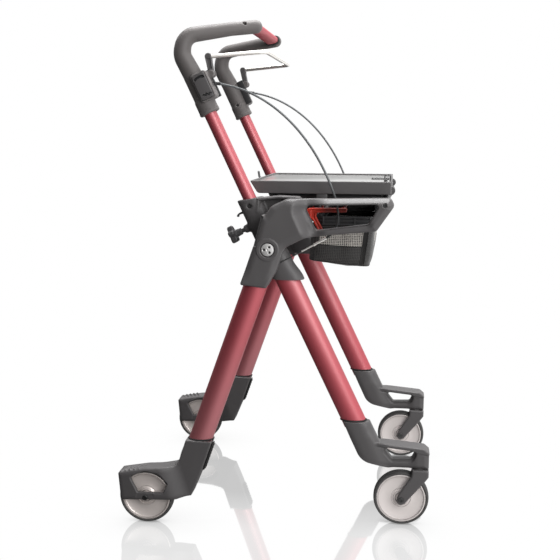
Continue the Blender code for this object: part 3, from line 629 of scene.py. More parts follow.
def steel(name, rough, tint=(0.78, 0.77, 0.75), turned=None):
    """Bright steel with fine turning or drawing marks."""
    tree = Tree(name)
    if turned:
        marks = tree.noise(1.0, 2, place=tree.space(tree.times(tree.away(turned), 5200.0)))
    else:
        marks = tree.noise(1.0, 3, stretch=(120, 120, 1400))
    stain = tree.noise(60, 2)
    base = tree.mixed(tree.grade(stain, 0.0, 0.5), tint, scaled(tint, 0.86))
    tree.bump(marks, 0.00002, 0.4)
    return tree.done(base, tree.grade(marks, rough - 0.06, rough + 0.08), 1.0)


def wheel_plastic(name, base_colour, centre, rough, metallic=0.0):
    """Pale disc plastic with faint turned rings, darker towards the rim, and painted shade along its grooves.
    """
    tree = Tree(name)
    away = tree.away(centre)
    marks = tree.noise(1.0, 3, place=tree.space(tree.times(away, 1500.0)))
    cloud = tree.noise(30, 3)
    deep = scaled(base_colour, 0.80)
    base = tree.mixed(tree.grade(marks, 0.0, 0.35), base_colour, deep)
    base = tree.mixed(tree.grade(cloud, 0.0, 0.25, 0.4, 0.8), base, deep)
    base = tree.mixed(tree.grade(away, 0.0, 0.35, 0.036, 0.046), base, scaled(base_colour, 0.62))
    # painted shade: thin dark lines at the radii of the disc's grooves and steps
    for radius, share in ((0.0106, 0.9), (0.0140, 0.45), (0.0186, 0.45), (0.0428, 0.6)):
        gap = tree.maths("ABSOLUTE", tree.minus(away, radius))
        base = tree.mixed(tree.grade(gap, share, 0.0, 0.0004, 0.0009), base, scaled(base_colour, 0.25))
    tree.bump(marks, 0.00004, 0.35)
    return tree.done(base, tree.grade(marks, rough - 0.06, rough + 0.08), metallic)


def rubbery(name, colour, rough=0.78, painted_shade_heights=None):
    """Matt rubber with a fine grain and a little dust; optional painted shade, darker from one height down to
    another.
    """
    tree = Tree(name)
    grain = tree.noise(900, 3, 0.7)
    dust = tree.noise(45, 4, 0.6)
    base = tree.mixed(tree.grade(dust, 0.0, 0.55, 0.45, 0.8), colour, scaled(colour, 1.7, 0.01))
    # painted shade: the sheath darkens low down, where it runs under the tray and into the arm
    if painted_shade_heights:
        z = tree.axes()[2]
        base = tree.mixed(tree.grade(z, 0.0, 1.0, *painted_shade_heights), base, scaled(colour, 0.15))
    tree.bump(grain, 0.00008, 0.5)
    return tree.done(base, tree.grade(grain, rough - 0.08, rough + 0.1), 0.0, Specular_IOR_Level=0.3)


def glossy_panel(name, colour, rough):
    """The tray's laminate: a pale film under a clear coat, with a faint brushed pattern."""
    tree = Tree(name)
    lines = tree.noise(1.0, 3, stretch=(60, 1600, 60))
    cloud = tree.noise(12, 3)
    base = tree.mixed(tree.grade(lines, 0.0, 0.10), colour, scaled(colour, 0.80))
    base = tree.mixed(tree.grade(cloud, 0.0, 0.20), base, scaled(colour, 1.2))
    brushed = tree.grade(lines, rough, rough + 0.08)
    return tree.done(base, brushed, 0.35, Coat_Weight=0.45, Coat_Roughness=0.10)


def woven(name, dark, light, pitch, depth):
    """Plain-weave cloth: crossed threads by the surface's own sides, with lint and fold shading."""
    tree = Tree(name)
    x, y, z = tree.axes()
    turn = 2 * math.pi / pitch
    level = tree.maths("SINE", tree.times(tree.plus(x, y), turn))
    upright = tree.maths("SINE", tree.times(z, turn))
    weave = tree.times(level, upright)
    lint = tree.noise(700, 4, 0.7)
    folds = tree.noise(26, 3, stretch=(1.0, 1.0, 1.6))
    share = tree.plus(tree.grade(weave, 0.15, 0.65, -1, 1), tree.grade(lint, -0.12, 0.22))
    base = tree.mixed(share, dark, light)
    base = tree.mixed(tree.grade(folds, 0.0, 0.35, 0.45, 0.75), base, scaled(light, 1.8))
    tree.bump(weave, depth, 0.7)
    tree.bump(lint, depth * 0.6, 0.4)
    return tree.done(base, 0.86, 0.0, Sheen_Weight=0.25, Specular_IOR_Level=0.2)


def net(name, thread, hole, pitch, depth):
    """Open mesh cloth: pale threads round dark holes, in offset rows."""
    tree = Tree(name)
    x, y, z = tree.axes()
    flat = tree.space(tree.times(tree.plus(x, y), 1 / pitch), tree.times(z, 1.15 / pitch))
    inputs = {"Vector": flat, "Scale": 1.0, "Randomness": 0.12}
    cells = tree.node("ShaderNodeTexVoronoi", inputs, voronoi_dimensions="2D")
    open_share = tree.grade(cells.outputs["Distance"], 1.0, 0.0, 0.30, 0.42)
    wobble = tree.noise(240, 3)
    highlight_and_fleck = tree.mixed(tree.grade(wobble, 0.0, 0.7, 0.3, 0.7), thread, scaled(thread, 0.55))
    base = tree.mixed(open_share, highlight_and_fleck, hole)
    tree.bump(tree.minus(1.0, open_share), depth, 0.8)
    return tree.done(base, 0.7, 0.0, Sheen_Weight=0.2)


def studio_level(tree, x, y, z):
    """How bright the studio is in a direction: dark to the left, bright to the right, above and behind."""
    right = tree.grade(x, 0.03, 1.10, -0.25, 0.95)
    above = tree.grade(z, 0.0, 0.62, 0.20, 0.95)
    behind = tree.times(tree.grade(y, 0.0, 0.85, 0.66, 0.86), tree.grade(z, 0.0, 1.0, 0.06, 0.28))
    return tree.plus(tree.plus(right, above), behind)


def floor_finish():
    """A white sweep that glows evenly, darkens where something stands, and mirrors the object faintly."""
    tree = Tree("pale floor")
    nodes, links = tree.nodes, tree.links
    near = tree.node("ShaderNodeAmbientOcclusion", {"Distance": 0.10}, samples=8)
    stops = [(at, (level,) * 3) for at, level in ((0.0, 0.30), (0.55, 0.86), (0.92, 1.0))]
    shade = tree.ramp(near.outputs["AO"], stops)
    x, y, _ = tree.axes()
    away = tree.maths("SQRT", tree.plus(tree.maths("POWER", x, 2.0), tree.maths("POWER", y, 2.0)))
    wanted = tree.times(tree.grade(y, 0.22, 0.44, -0.26, -0.08), tree.grade(away, 1.0, 0.0, 0.42, 0.95))
    toward = nodes.new("ShaderNodeNewGeometry").outputs["Incoming"]
    ix, iy, iz = tree.node("ShaderNodeSeparateXYZ", {"Vector": toward}).outputs
    level = studio_level(tree, tree.times(ix, -1.0), tree.times(iy, -1.0), iz)
    share = tree.maths("MINIMUM", tree.maths("DIVIDE", wanted, tree.maths("MAXIMUM", level, 0.3)), 1.0)
    blur = tree.grade(tree.noise(200, 2), 0.03, 0.05)
    mirror = tree.node("ShaderNodeBsdfGlossy", {"Color": share, "Roughness": blur})
    rest = tree.maths("MAXIMUM", tree.minus(1.0, tree.times(share, level)), 0.0)
    glow = tree.node("ShaderNodeEmission", {"Color": shade, "Strength": rest})
    seen_floor = tree.node("ShaderNodeAddShader")
    links.new(mirror.outputs[0], seen_floor.inputs[0])
    links.new(glow.outputs[0], seen_floor.inputs[1])
    bounce = tree.grade(x, 0.05, 1.25, -0.3, 1.0)
    lighting = tree.node("ShaderNodeEmission", {"Color": shade, "Strength": bounce})
    tree.done_by_ray(lighting, seen_floor, "Material Output")
    return tree.material


front_red = red_metal("red anodised front", (RISE_X, RISE_Z), (0.40, 0.70), 0.62)
rear_red = red_metal("red anodised rear", (math.sin(REAR_RAKE), math.cos(REAR_RAKE)), (1.0, 0.40), 0.50, 0.28)
bar_red = red_metal("red anodised bar", (0.0, 1.0), (0.1, 0.1))
body_grey = moulded("dark grey moulding", (0.060, 0.056, 0.057), (0.073, 0.069, 0.070), 0.45)
grip_grey = moulded("soft grey grip", (0.082, 0.074, 0.072), (0.096, 0.087, 0.085), 0.58, 1400, 0.00007, 0.1)
dark_grey = moulded("darker grey moulding", (0.036, 0.035, 0.036), (0.046, 0.044, 0.045), 0.50)
black_plastic = moulded("black moulding", (0.010, 0.010, 0.011), (0.016, 0.016, 0.017), 0.42)
black_metal = moulded("black powder coat", (0.012, 0.012, 0.013), (0.017, 0.017, 0.018), 0.38, 2400, 0.00004)
lever_reds = (0.36, 0.014, 0.005), (0.48, 0.024, 0.007)
red_plastic = moulded("red lever moulding", *lever_reds, 0.40, 1600, 0.00003, painted_shade_x=(0.064, 0.090))
bright_steel = steel("bright steel", 0.22)
satin_steel = steel("satin steel rod", 0.38, (0.92, 0.89, 0.85))
bolt_steel = steel("turned bolt steel", 0.42, (0.96, 0.95, 0.94), (PIVOT_X, PIVOT_Z))
dark_steel = steel("dark screw steel", 0.40, (0.10, 0.10, 0.10))
front_disc = wheel_plastic("pale wheel disc", (0.70, 0.645, 0.625), (FRONT_AXLE.x, FRONT_AXLE.z), 0.42)
rear_disc = wheel_plastic("brushed wheel disc", (0.76, 0.69, 0.655), (REAR_AXLE.x, REAR_AXLE.z), 0.36, 0.35)
tyre_rubber = rubbery("tyre rubber", (0.060, 0.058, 0.057))
black_rubber = rubbery("black rubber", (0.018, 0.018, 0.018))
cable_sheath = rubbery("cable sheath", (0.120, 0.126, 0.130), 0.45, (0.650, 0.605))
tray_panel = glossy_panel("tray laminate", (0.25, 0.25, 0.245), 0.32)
bag_cloth = net("black bag net", (0.046, 0.043, 0.041), (0.006, 0.006, 0.006), 0.0034, 0.0003)
bag_band = woven("bag binding", (0.006, 0.006, 0.006), (0.022, 0.021, 0.020), 0.0008, 0.00010)
bag_net = net("bag net", (0.50, 0.47, 0.43), (0.012, 0.011, 0.010), 0.0036, 0.0003)


# ---- Front frame ----

LEG_A, LEG_B = 0.0215, 0.015  # half the leg's oval, fore and aft and across
KNOB_UP = 0.048  # the clamp knob's screw, up the leg from the pivot
TUBE_ROOM = 0.0124  # the radius that holds a handle tube
HEAD_SCREW_X, HEAD_SCREW_Z = -0.0490, 0.5989
FOOT_TOP = 0.1983
CASTER_X = 0.273
WING = rounded([
    (-0.0340, 0.6140, 0), (0.0050, 0.6185, 0.060), (0.0430, 0.6170, 0.006), (0.0490, 0.6080, 0.005),
    (0.0360, 0.5880, 0.004), (-0.0060, 0.5600, 0), (-0.0400, 0.5500, 0),
])


def leg_room(forward, side):
    """Distance to the socket that a leg sits in, with its clearance."""
    return oval(forward, side, LEG_A + 0.0005, LEG_B + 0.0005)


def head_field(x, t, z):
    up, forward = up_front(x, z)
    away = away_from(x, z, PIVOT_X, PIVOT_Z)
    turn = np.arctan2(z - PIVOT_Z, x - PIVOT_X)
    side = t - FRONT_PLANE
    grow = 0.0040 * ease((-0.040 - up) / 0.035)
    thick = 0.0228 + 0.0016 * ease((-0.008 - up) / 0.020)
    collar = oval(forward - 0.4 * grow, side, thick + grow, 0.0195 + 0.2 * grow, 2.6)
    collar = both(collar, both(up + 0.25 * forward - 0.0962, 0.4642 - z), 0.0016)
    flat = outline(x, z, WING)
    slot = both(both(away - 0.0785, 0.0575 - away), turn - math.radians(85.0))
    web = slab(cut(flat, slot), t, 0.1945, 0.0060, 0.0010)
    rim_band = cut(both(flat, -(flat + 0.0048), 0.0010), slot)
    rim = slab(both(rim_band, both(0.588 - z, x - 0.0462)), t, 0.1987, 0.0121, 0.0020)
    made = blended(collar, blended(web, rim, 0.002), 0.003)
    boss = disc(x, t, z, (PIVOT_X, 0.208, PIVOT_Z), 0.0178, 0.0060, 0.0012)
    root, end = (front_point(KNOB_UP, at, FRONT_PLANE) for at in (-0.014, -0.0285))
    screw_boss = line(x, t, z, root, end, 0.0075)
    screw_boss = both(screw_boss, -0.0338 - forward, 0.0012)
    made = blended(made, boss, 0.002)
    made = blended(made, screw_boss, 0.005)
    tube_room = np.sqrt(forward**2 + side**2) - TUBE_ROOM
    made = cut(made, both(tube_room, 0.0 - up), 0.0012)
    made = cut(made, both(leg_room(forward, side), up + 0.0295), 0.0008)
    hole = disc(x, t, z, (HEAD_SCREW_X, 0.2125, HEAD_SCREW_Z), 0.0037, 0.0090)
    dish = disc(x, t, z, (HEAD_SCREW_X, 0.2125, HEAD_SCREW_Z), 0.0055, 0.0022)
    return cut(cut(made, dish, 0.0010), hole, 0.0006)


def upright_shape(bottom, top, rake_point, plane, a=LEG_A, b=LEG_B, wall=0.0018, lean=0.0):
    """A hollow oval tube with rolled ends, between two distances up its axis; lean moves its foot forward."""
    rings = []
    for up, grow in (
        (bottom, -0.0008), (bottom, 0.0), (bottom + 0.0006, 0.0),
        (top - 0.0006, 0.0), (top, -0.0006), (top, -wall), (bottom, -wall),
    ):
        shift = lean * (top - up) / (top - bottom)
        section = [((a + grow) * c, (b + grow) * s) for c, s in circle(1, 64)]
        rings.append([rake_point(up, forward + shift, plane + side) for forward, side in section])
    return loft(rings, closed=True)


FOOT = rounded([
    (0.1285, FOOT_TOP, 0.0015), (0.1765, FOOT_TOP, 0.0015), (0.1960, 0.1580, 0.010), (0.2805, 0.1500, 0.007),
    (0.2893, 0.1420, 0.005), (0.2893, 0.1120, 0.003), (0.2200, 0.1115, 0.080), (0.1635, 0.1240, 0.030),
], 8)
FOOT_WINDOW = rounded([
    (0.2035, 0.1500, 0.004), (0.2640, 0.1440, 0.004), (0.2570, 0.1295, 0.004), (0.2205, 0.1280, 0.004),
])
TREAD = rounded([
    (0.1800, 0.1600, 0.002), (0.2030, 0.1595, 0.014), (0.2800, 0.1527, 0.007), (0.2898, 0.1445, 0.004),
    (0.2898, 0.1400, 0.002), (0.2620, 0.1455, 0.006), (0.2050, 0.1520, 0.006), (0.1800, 0.1550, 0.002),
])


def foot_field(x, t, z):
    _, forward = up_front(x, z)
    side = t - FRONT_PLANE
    sleeve = oval(forward - 0.0034, side, 0.0236, 0.0168, 2.6)
    flat = outline(x, z, FOOT)
    sleeve = both(both(sleeve, flat - 0.0008, 0.0020), z - FOOT_TOP, 0.0010)
    half = 0.0132 + 0.0040 * ease((x - 0.250) / 0.020)
    half = half - 0.0030 * ease((z - 0.165) / 0.020)
    crown = 0.0040 * (1 - ease(-flat / 0.012)) ** 2
    block = both(flat, np.abs(side) - half + crown, 0.0030)
    made = blended(sleeve, block, 0.008)
    tread_half = 0.0145 + 0.0042 * ease((x - 0.185) / 0.030)
    tread = both(outline(x, z, TREAD), np.abs(side) - tread_half, 0.0020)
    made = blended(made, tread, 0.0020)
    window = outline(x, z, FOOT_WINDOW)
    bevel = 0.0040 * ease((np.abs(side) - 0.0075) / 0.0060)
    made = cut(made, window - bevel, 0.0015)
    for at in (0.2672, 0.2712):
        nick = line(x, t, z, (at, 0.2105, 0.1400), (at - 0.0010, 0.2105, 0.1362), 0.0012)
        made = cut(made, nick, 0.0003)
    bore = disc(x, t, z, (CASTER_X, FRONT_PLANE, 0.112), 0.0068, 0.010, axis=(0, 0, 1))
    return cut(made, bore, 0.0008)


FORK = rounded([
    (0.2590, 0.1116, 0.001), (0.2893, 0.1116, 0.002), (0.2893, 0.0985, 0.003), (0.2822, 0.0885, 0.006),
    (0.2455, 0.0435, 0), (0.2318, 0.0545, 0), (0.2340, 0.0620, 0.006), (0.2575, 0.0990, 0.004),
])


def fork_field(x, t, z):
    side = t - FRONT_PLANE
    away = np.sqrt((x - FRONT_AXLE.x) ** 2 + (z - FRONT_AXLE.z + 0.0020) ** 2)
    flat = blended(outline(x, z, FORK), away - 0.0082, 0.002)
    bowed = 0.0012 * ease((0.098 - z) / 0.03)
    crown = 0.0012 * (1 - ease(-flat / 0.004)) ** 2
    made = both(flat, np.abs(side) - 0.0204 + bowed + crown, 0.0014)
    wheel_away = away_from(x, z, FRONT_AXLE.x, FRONT_AXLE.z)
    room = both(wheel_away - WHEEL_RADIUS - 0.0028, np.abs(side) - 0.0135, 0.002)
    made = cut(made, room, 0.0015)
    neck = disc(x, t, z, (CASTER_X, FRONT_PLANE, 0.1125), 0.0125, 0.0012, 0.0004, (0, 0, 1))
    made = blended(made, neck, 0.0012)
    seat = both(wheel_away - 0.0054, 0.0184 - np.abs(side))
    return cut(made, seat, 0.0006)


def build_front_frame():
    shape = surface(head_field, (-0.088, 0.166, 0.440), (0.060, 0.218, 0.628), 0.00125)
    paired("head_moulding", shape, body_grey, "frame", ["head"])
    leg = upright_shape(-0.368, -0.030, front_point, FRONT_PLANE, lean=0.0026)
    paired("front_leg_tube", leg, front_red, "frame", ["front_leg"], 40)
    shape = surface(foot_field, (0.110, 0.166, 0.104), (0.298, 0.216, 0.222), 0.00125)
    paired("front_foot", shape, body_grey, "frame", ["front_bracket"])
    shape = collared_bar(PIVOT_X, PIVOT_Z, 0.1715, 0.0110, 0.012, 0.0132)
    piece("pivot_cross_tube", shape, black_metal, "frame", ["front_cross_tube"], 35)


BOLT_DIMPLES = []
for angle in map(math.radians, (180, 55, -50)):
    BOLT_DIMPLES.append((PIVOT_X + 0.0060 * math.cos(angle), PIVOT_Z + 0.0060 * math.sin(angle)))


def bolt_field(x, t, z):
    away = away_from(x, z, PIVOT_X, PIVOT_Z)
    head = both(away - 0.0113, np.abs(t - 0.2524) - 0.0023, 0.0008)
    made = np.maximum(head, t - 0.2545 + 0.0007 * (away / 0.0115) ** 2)
    for cx, cz in BOLT_DIMPLES:
        made = cut(made, disc(x, t, z, (cx, 0.2555, cz), 0.0023, 0.0026), 0.0004)
    centre = disc(x, t, z, (PIVOT_X, 0.2555, PIVOT_Z), 0.0016, 0.0018)
    return cut(made, centre, 0.0004)


def build_bolts():
    low, high = (PIVOT_X - 0.013, 0.2490, PIVOT_Z - 0.013), (PIVOT_X + 0.013, 0.2565, PIVOT_Z + 0.013)
    shape = surface(bolt_field, low, high, 0.0004)
    paired("pivot_bolt_head", shape, bolt_steel, "frame", ["pivot_bolt"])
    # painted shade: dark discs at the floors of the three dimples, for the shade in the recesses
    recess_shades = [lathe([(0.0001, 0.2510), (0.0025, 0.2510), (0.0025, 0.2532), (0.0001, 0.2532)], (cx, 0, cz), 24)
             for cx, cz in BOLT_DIMPLES]
    paired("pivot_bolt_recess_shade", joined(*recess_shades), dark_steel, "frame", [], 40)
    for end, plane, body, axle in (
        ("front", FRONT_PLANE, "{side}_caster", FRONT_AXLE),
        ("rear", REAR_WHEEL_PLANE, "rear", REAR_AXLE),
    ):
        screws = [screw_head((axle.x, plane + s * 0.0184, axle.z), s, 0.0050, 0.0024) for s in (1, -1)]
        pin = bar((axle.x, plane - 0.0188, axle.z), (axle.x, plane + 0.0188, axle.z), 0.0034, 24)
        name = end + "_axle"
        paired(name + "_bolt", joined(pin, *screws), dark_steel, body, [name], 30)


def screw_head(centre, sign, radius, height):
    """A cap screw head with a hexagonal socket, facing out along t."""
    cx, ct, cz = centre
    steps, rings = 36, []
    for grow, along in ((1.0, 0.0), (1.0, 0.7 * height), (0.88, height), (0.52, height)):
        rings.append([(cx + radius * grow * c, ct + sign * along, cz + radius * grow * s)
                      for c, s in circle(1, steps)])
    for depth in (height, height * 0.25):
        ring = []
        for k in range(steps):
            angle = 2 * math.pi * k / steps
            hexagon = radius * 0.46 / math.cos((angle + math.pi / 6) % (math.pi / 3) - math.pi / 6)
            ring.append((cx + hexagon * math.cos(angle), ct + sign * depth, cz + hexagon * math.sin(angle)))
        rings.append(ring)
    return loft(rings)


def knob_field(x, t, z):
    up, forward = up_front(x, z)
    up = up - KNOB_UP
    side = t - FRONT_PLANE
    away = np.sqrt(up**2 + side**2)
    angle = np.arctan2(side, up)
    lobe = 0.0144 + 0.0030 * np.cos(5 * angle)
    dish = 0.0014 * ease(1 - away / 0.012)
    head = both((away - lobe) * 0.8, np.abs(forward + 0.0570) - 0.0062 + dish, 0.0034)
    hub = both(away - 0.0080, np.abs(forward + 0.0490) - 0.0100, 0.0015)
    hub = np.maximum(hub, away - 0.0062 - 0.10 * np.maximum(-forward - 0.040, 0))
    made = blended(head, hub, 0.003)
    thread = 0.0004 * np.sin(forward * 2 * math.pi / 0.00125)
    return np.minimum(made, both(away - 0.0040 - thread, np.abs(forward + 0.0300) - 0.0125))


def build_small_screws():
    head = screw_head((HEAD_SCREW_X, 0.2040, HEAD_SCREW_Z), 1, 0.0035, 0.0014)
    paired("head_screw", head, dark_steel, "frame", [], 30)
    x, _, z = front_point(GRIP_SCREW_UP, GRIP_SCREW_FORWARD, 0)
    head = screw_head((x, 0.1795, z), -1, 0.0029, 0.0012)
    paired("grip_screw", head, dark_steel, "handles", [], 30)


def build_knobs():
    cx, _, cz = front_point(KNOB_UP, -0.042, 0)
    low, high = (cx - 0.030, FRONT_PLANE - 0.022, cz - 0.030), (cx + 0.030, FRONT_PLANE + 0.022, cz + 0.030)
    shape = surface(knob_field, low, high, 0.0007)
    paired("clamp_knob_star", shape, dark_grey, "{side}_knob", ["clamp_knob"])
    back = -0.0218
    bends = ((0.078, 0), (0.0795, 0.0075), (0.0785, 0.0110), (0.0745, 0.0125))
    path = bezier(*[front_point(up, back - over, FRONT_PLANE) for up, over in bends], 12)
    radii = [1.3, 1.15, 1.0, 0.95, 0.9, 0.9, 0.9, 0.95, 1.05, 1.15, 1.15, 0.7]
    hook = tube(path, 0.0021, 14, radii)
    paired("hook", hook, black_plastic, "frame", ["bag_hook"], 60)


# ---- Rear frame ----

ARM = rounded([
    (-0.0602, 0.4598, 0.003), (-0.0362, 0.5300, 0.016), (-0.0218, 0.5862, 0.002), (-0.0150, 0.5872, 0.002),
    (-0.0030, 0.6030, 0.012), (0.0230, 0.6150, 0.024), (0.2080, 0.6186, 0.008), (0.2144, 0.6055, 0.007),
    (0.1835, 0.5605, 0.008), (0.1000, 0.5525, 0.060), (0.0560, 0.5460, 0.040), (0.0180, 0.5270, 0.022),
    (0.0045, 0.4840, 0.024), (-0.0122, 0.4545, 0.003),
], 8)
ARM_WINDOW = rounded([
    (0.0535, 0.6040, 0.008), (0.1895, 0.6082, 0.005), (0.1690, 0.5715, 0.007), (0.0745, 0.5590, 0.008),
], 8)
ARM_INNER, ARM_OUTER = 0.2148, 0.2532
ARM_SCREW_X, ARM_SCREW_Z = 0.1977, 0.6066


def arm_face(x, z, flat, window):
    """How far out the arm's outer face is: crown, slope to the window, edge flange, ring and recess."""
    face = ARM_OUTER - 0.0040 * (1 - ease(-flat / 0.016)) ** 2 * ease((z - 0.462) / 0.030)
    top = ease((z - 0.600) / 0.006) * ease((x - 0.020) / 0.040)
    face = face - 0.0058 * top * (1 - ease(-flat / 0.012)) ** 1.5
    slope = 0.0165 * ease(1 - window / 0.027) * (0.12 + 0.88 * ease((0.098 - x) / 0.040))
    face = face - slope
    lower = ease(1 - window / 0.009) * ease((0.580 - z) / 0.012) * 0.0035
    face = face - lower
    run_x, run_z = x + 0.0290, z - 0.5580
    along = run_x * 0.254 + run_z * 0.967
    edge_on = (run_x * 0.967 - run_z * 0.254) - 0.0052
    flange = ease(-edge_on / 0.0012) * ease((0.0285 - np.abs(along)) / 0.0012)
    face = face - 0.0034 * flange
    away = away_from(x, z, PIVOT_X, PIVOT_Z)
    ring = ease((0.0208 - away) / 0.0012)
    face = face * (1 - ring) + ring * (ARM_OUTER + 0.0012)
    recess = ease((0.0138 - away) / 0.0010)
    return face - 0.0034 * recess


def arm_field(x, t, z):
    flat = outline(x, z, ARM)
    window = outline(x, z, ARM_WINDOW)
    face = arm_face(x, z, flat, window)
    middle = (ARM_INNER + face) / 2
    made = both(flat, np.abs(t - middle) - (face - ARM_INNER) / 2, 0.0042)
    made = cut(made, window, 0.0032)
    up, forward = up_rear(x, z)
    made = cut(made, both(leg_room(forward, t - REAR_PLANE), up + 0.0315), 0.0010)
    screw = disc(x, t, z, (ARM_SCREW_X, 0.2540, ARM_SCREW_Z), 0.0036, 0.0075)
    made = cut(made, screw, 0.0008)
    hollow = slab(both(flat + 0.0050, 0.0060 - window), t, 0.2120, 0.0120, 0.0030)
    hollow = both(hollow, both(0.0250 - x, 0.2480 - t))
    return cut(made, hollow, 0.0010)


REAR_FOOT = rounded([
    (-0.2908, 0.0992, 0.004), (-0.2390, 0.1086, 0.080), (-0.1795, 0.1132, 0.012), (-0.1628, 0.1638, 0.0015),
    (-0.1133, 0.1622, 0.0015), (-0.1345, 0.1005, 0.025), (-0.1530, 0.0560, 0.003), (-0.1635, 0.0545, 0.002),
    (-0.1810, 0.0498, 0.010), (-0.2860, 0.0455, 0.005),
], 8)
REAR_WINDOW = rounded([
    (-0.2672, 0.0915, 0.004), (-0.2400, 0.1040, 0.022), (-0.2130, 0.0990, 0.024), (-0.1955, 0.0805, 0.004),
    (-0.2050, 0.0625, 0.003), (-0.2530, 0.0625, 0.003),
], 8)


def rear_housing_field(x, t, z):
    """One moulding whose two faces step inwards from the wheel housing to the leg's socket."""
    up, forward = up_rear(x, z)
    flat = outline(x, z, REAR_FOOT)
    share = ease((x + 0.205 + 0.35 * (z - 0.080)) / 0.045)
    middle = REAR_WHEEL_PLANE + (REAR_PLANE - REAR_WHEEL_PLANE) * share
    half = 0.0200 - 0.0010 * share
    crown = 0.0016 * (1 - share) * (1 - ease(-flat / 0.010)) ** 2
    made = both(flat, np.abs(t - middle) - half + crown, 0.0024)
    for k in range(5):
        at = -0.2800 + 0.0086 * k
        height = 0.0985 + 0.0072 * (k / 4) ** 0.8
        outer, inner = (at - 0.0050, 0.2600, height + 0.0004), (at + 0.0050, 0.2400, height + 0.0020)
        rib = line(x, t, z, outer, inner, 0.0026)
        made = blended(made, rib, 0.0006)
    away = away_from(x, z, REAR_AXLE.x, REAR_AXLE.z)
    room = both(away - WHEEL_RADIUS - 0.0010, np.abs(t - REAR_WHEEL_PLANE) - 0.0132, 0.0020)
    made = cut(made, room, 0.0012)
    window = outline(x, z, REAR_WINDOW)
    chamfer = 0.0014 * ease((np.abs(t - REAR_WHEEL_PLANE) - 0.0172) / 0.0028)
    made = cut(made, window - chamfer, 0.0008)
    bar_relief = both(both(away - 0.0170, z - 0.0625), 0.0192 - np.abs(t - REAR_WHEEL_PLANE))
    made = cut(made, bar_relief, 0.0006)
    seat = both(away - 0.0054, 0.0182 - np.abs(t - REAR_WHEEL_PLANE))
    made = cut(made, seat, 0.0005)
    made = cut(made, both(leg_room(forward, t - REAR_PLANE), -0.4203 - up), 0.0009)
    toward = ((x - REAR_AXLE.x) + (z - REAR_AXLE.z)) * math.sqrt(0.5)
    beside = ((x - REAR_AXLE.x) - (z - REAR_AXLE.z)) * math.sqrt(0.5)
    shoe = both(np.abs(beside) - 0.0090, np.abs(t - REAR_WHEEL_PLANE) - 0.0092)
    shoe = both(shoe, np.abs(toward - 0.0588) - 0.0118)
    return cut(made, shoe)


def build_rear_frame():
    shape = surface(arm_field, (-0.068, 0.2100, 0.446), (0.222, 0.2590, 0.630), 0.00125)
    paired("arm_moulding", shape, body_grey, "rear", ["arm"])
    leg = upright_shape(-0.420, -0.032, rear_point, REAR_PLANE, lean=-0.0010)
    paired("rear_leg_tube", leg, rear_red, "rear", ["rear_leg"], 40)
    shape = surface(rear_housing_field, (-0.300, 0.208, 0.036), (-0.104, 0.272, 0.172), 0.00115)
    paired("rear_housing", shape, body_grey, "rear", ["rear_bracket"])
    cover = screw_head((ARM_SCREW_X, 0.2485, ARM_SCREW_Z), 1, 0.0033, 0.0016)
    paired("arm_screw", cover, black_plastic, "rear", [], 30)
    # painted shadow: black bands where the legs enter their mouldings
    shadow_gap_ring("rear", rear_point, REAR_PLANE, 0.1640, -0.0010, "rear")
    shadow_gap_ring("front", front_point, FRONT_PLANE, 0.2000, 0.0026, "frame")
    build_guard_strips()
    build_brake_shoes()
    build_cross_bars()


def shadow_gap_ring(name, point, plane, z, lean, body):
    """A black band standing for the shadow in the gap where a leg enters its lower moulding, level all round.
    """
    base, over, up = point(0, 0, 0)[2], point(0, 1, 0)[2], point(1, 0, 0)[2]
    over, up = over - base, up - base
    path = []
    for k in range(64):
        angle = 2 * math.pi * k / 64
        forward, side = (LEG_A + 0.0002) * math.cos(angle) + lean, (LEG_B + 0.0002) * math.sin(angle)
        path.append(Vector(point((z - base - over * forward) / up, forward, plane + side)))
    ring = tube(path, 0.0016, 8, closed=True)
    paired(name + "_entry_ring", ring, black_rubber, body, [], 60)


def build_guard_strips():
    ribs = []
    place = Matrix(((math.cos(REAR_RAKE), 0, math.sin(REAR_RAKE), PIVOT_X), (0, 1, 0, 0),
                    (-math.sin(REAR_RAKE), 0, math.cos(REAR_RAKE), PIVOT_Z), (0, 0, 0, 1)))
    ribs.append(rounded_box((0.0229, 0.2240, -0.4370), (0.0255, 0.2440, -0.3830), 0.0009, 2, place))
    for k in range(8):
        low = -0.4345 + 0.0064 * k
        ribs.append(rounded_box((0.0250, 0.2252, low), (0.0269, 0.2428, low + 0.0036), 0.0008, 2, place))
    paired("ribbed_strip", joined(*ribs), black_rubber, "rear", ["guard_strip"], 40)


def build_brake_shoes():
    turn = Matrix.Rotation(math.radians(-45), 4, "Y")
    place = Matrix.Translation((REAR_AXLE.x, REAR_WHEEL_PLANE, REAR_AXLE.z)) @ turn
    face = WHEEL_RADIUS + 0.0016
    block = rounded_box((face, -0.0085, -0.0085), (face + 0.0140, 0.0085, 0.0085), 0.0012, 3, place)
    plate = rounded_box((face + 0.0060, -0.0088, -0.0088), (face + 0.0085, 0.0088, 0.0088), 0.0006, 2, place)
    shape = joined(block, plate)
    paired("brake_pad", shape, black_rubber, "{side}_shoe", ["brake_shoe"], 35)


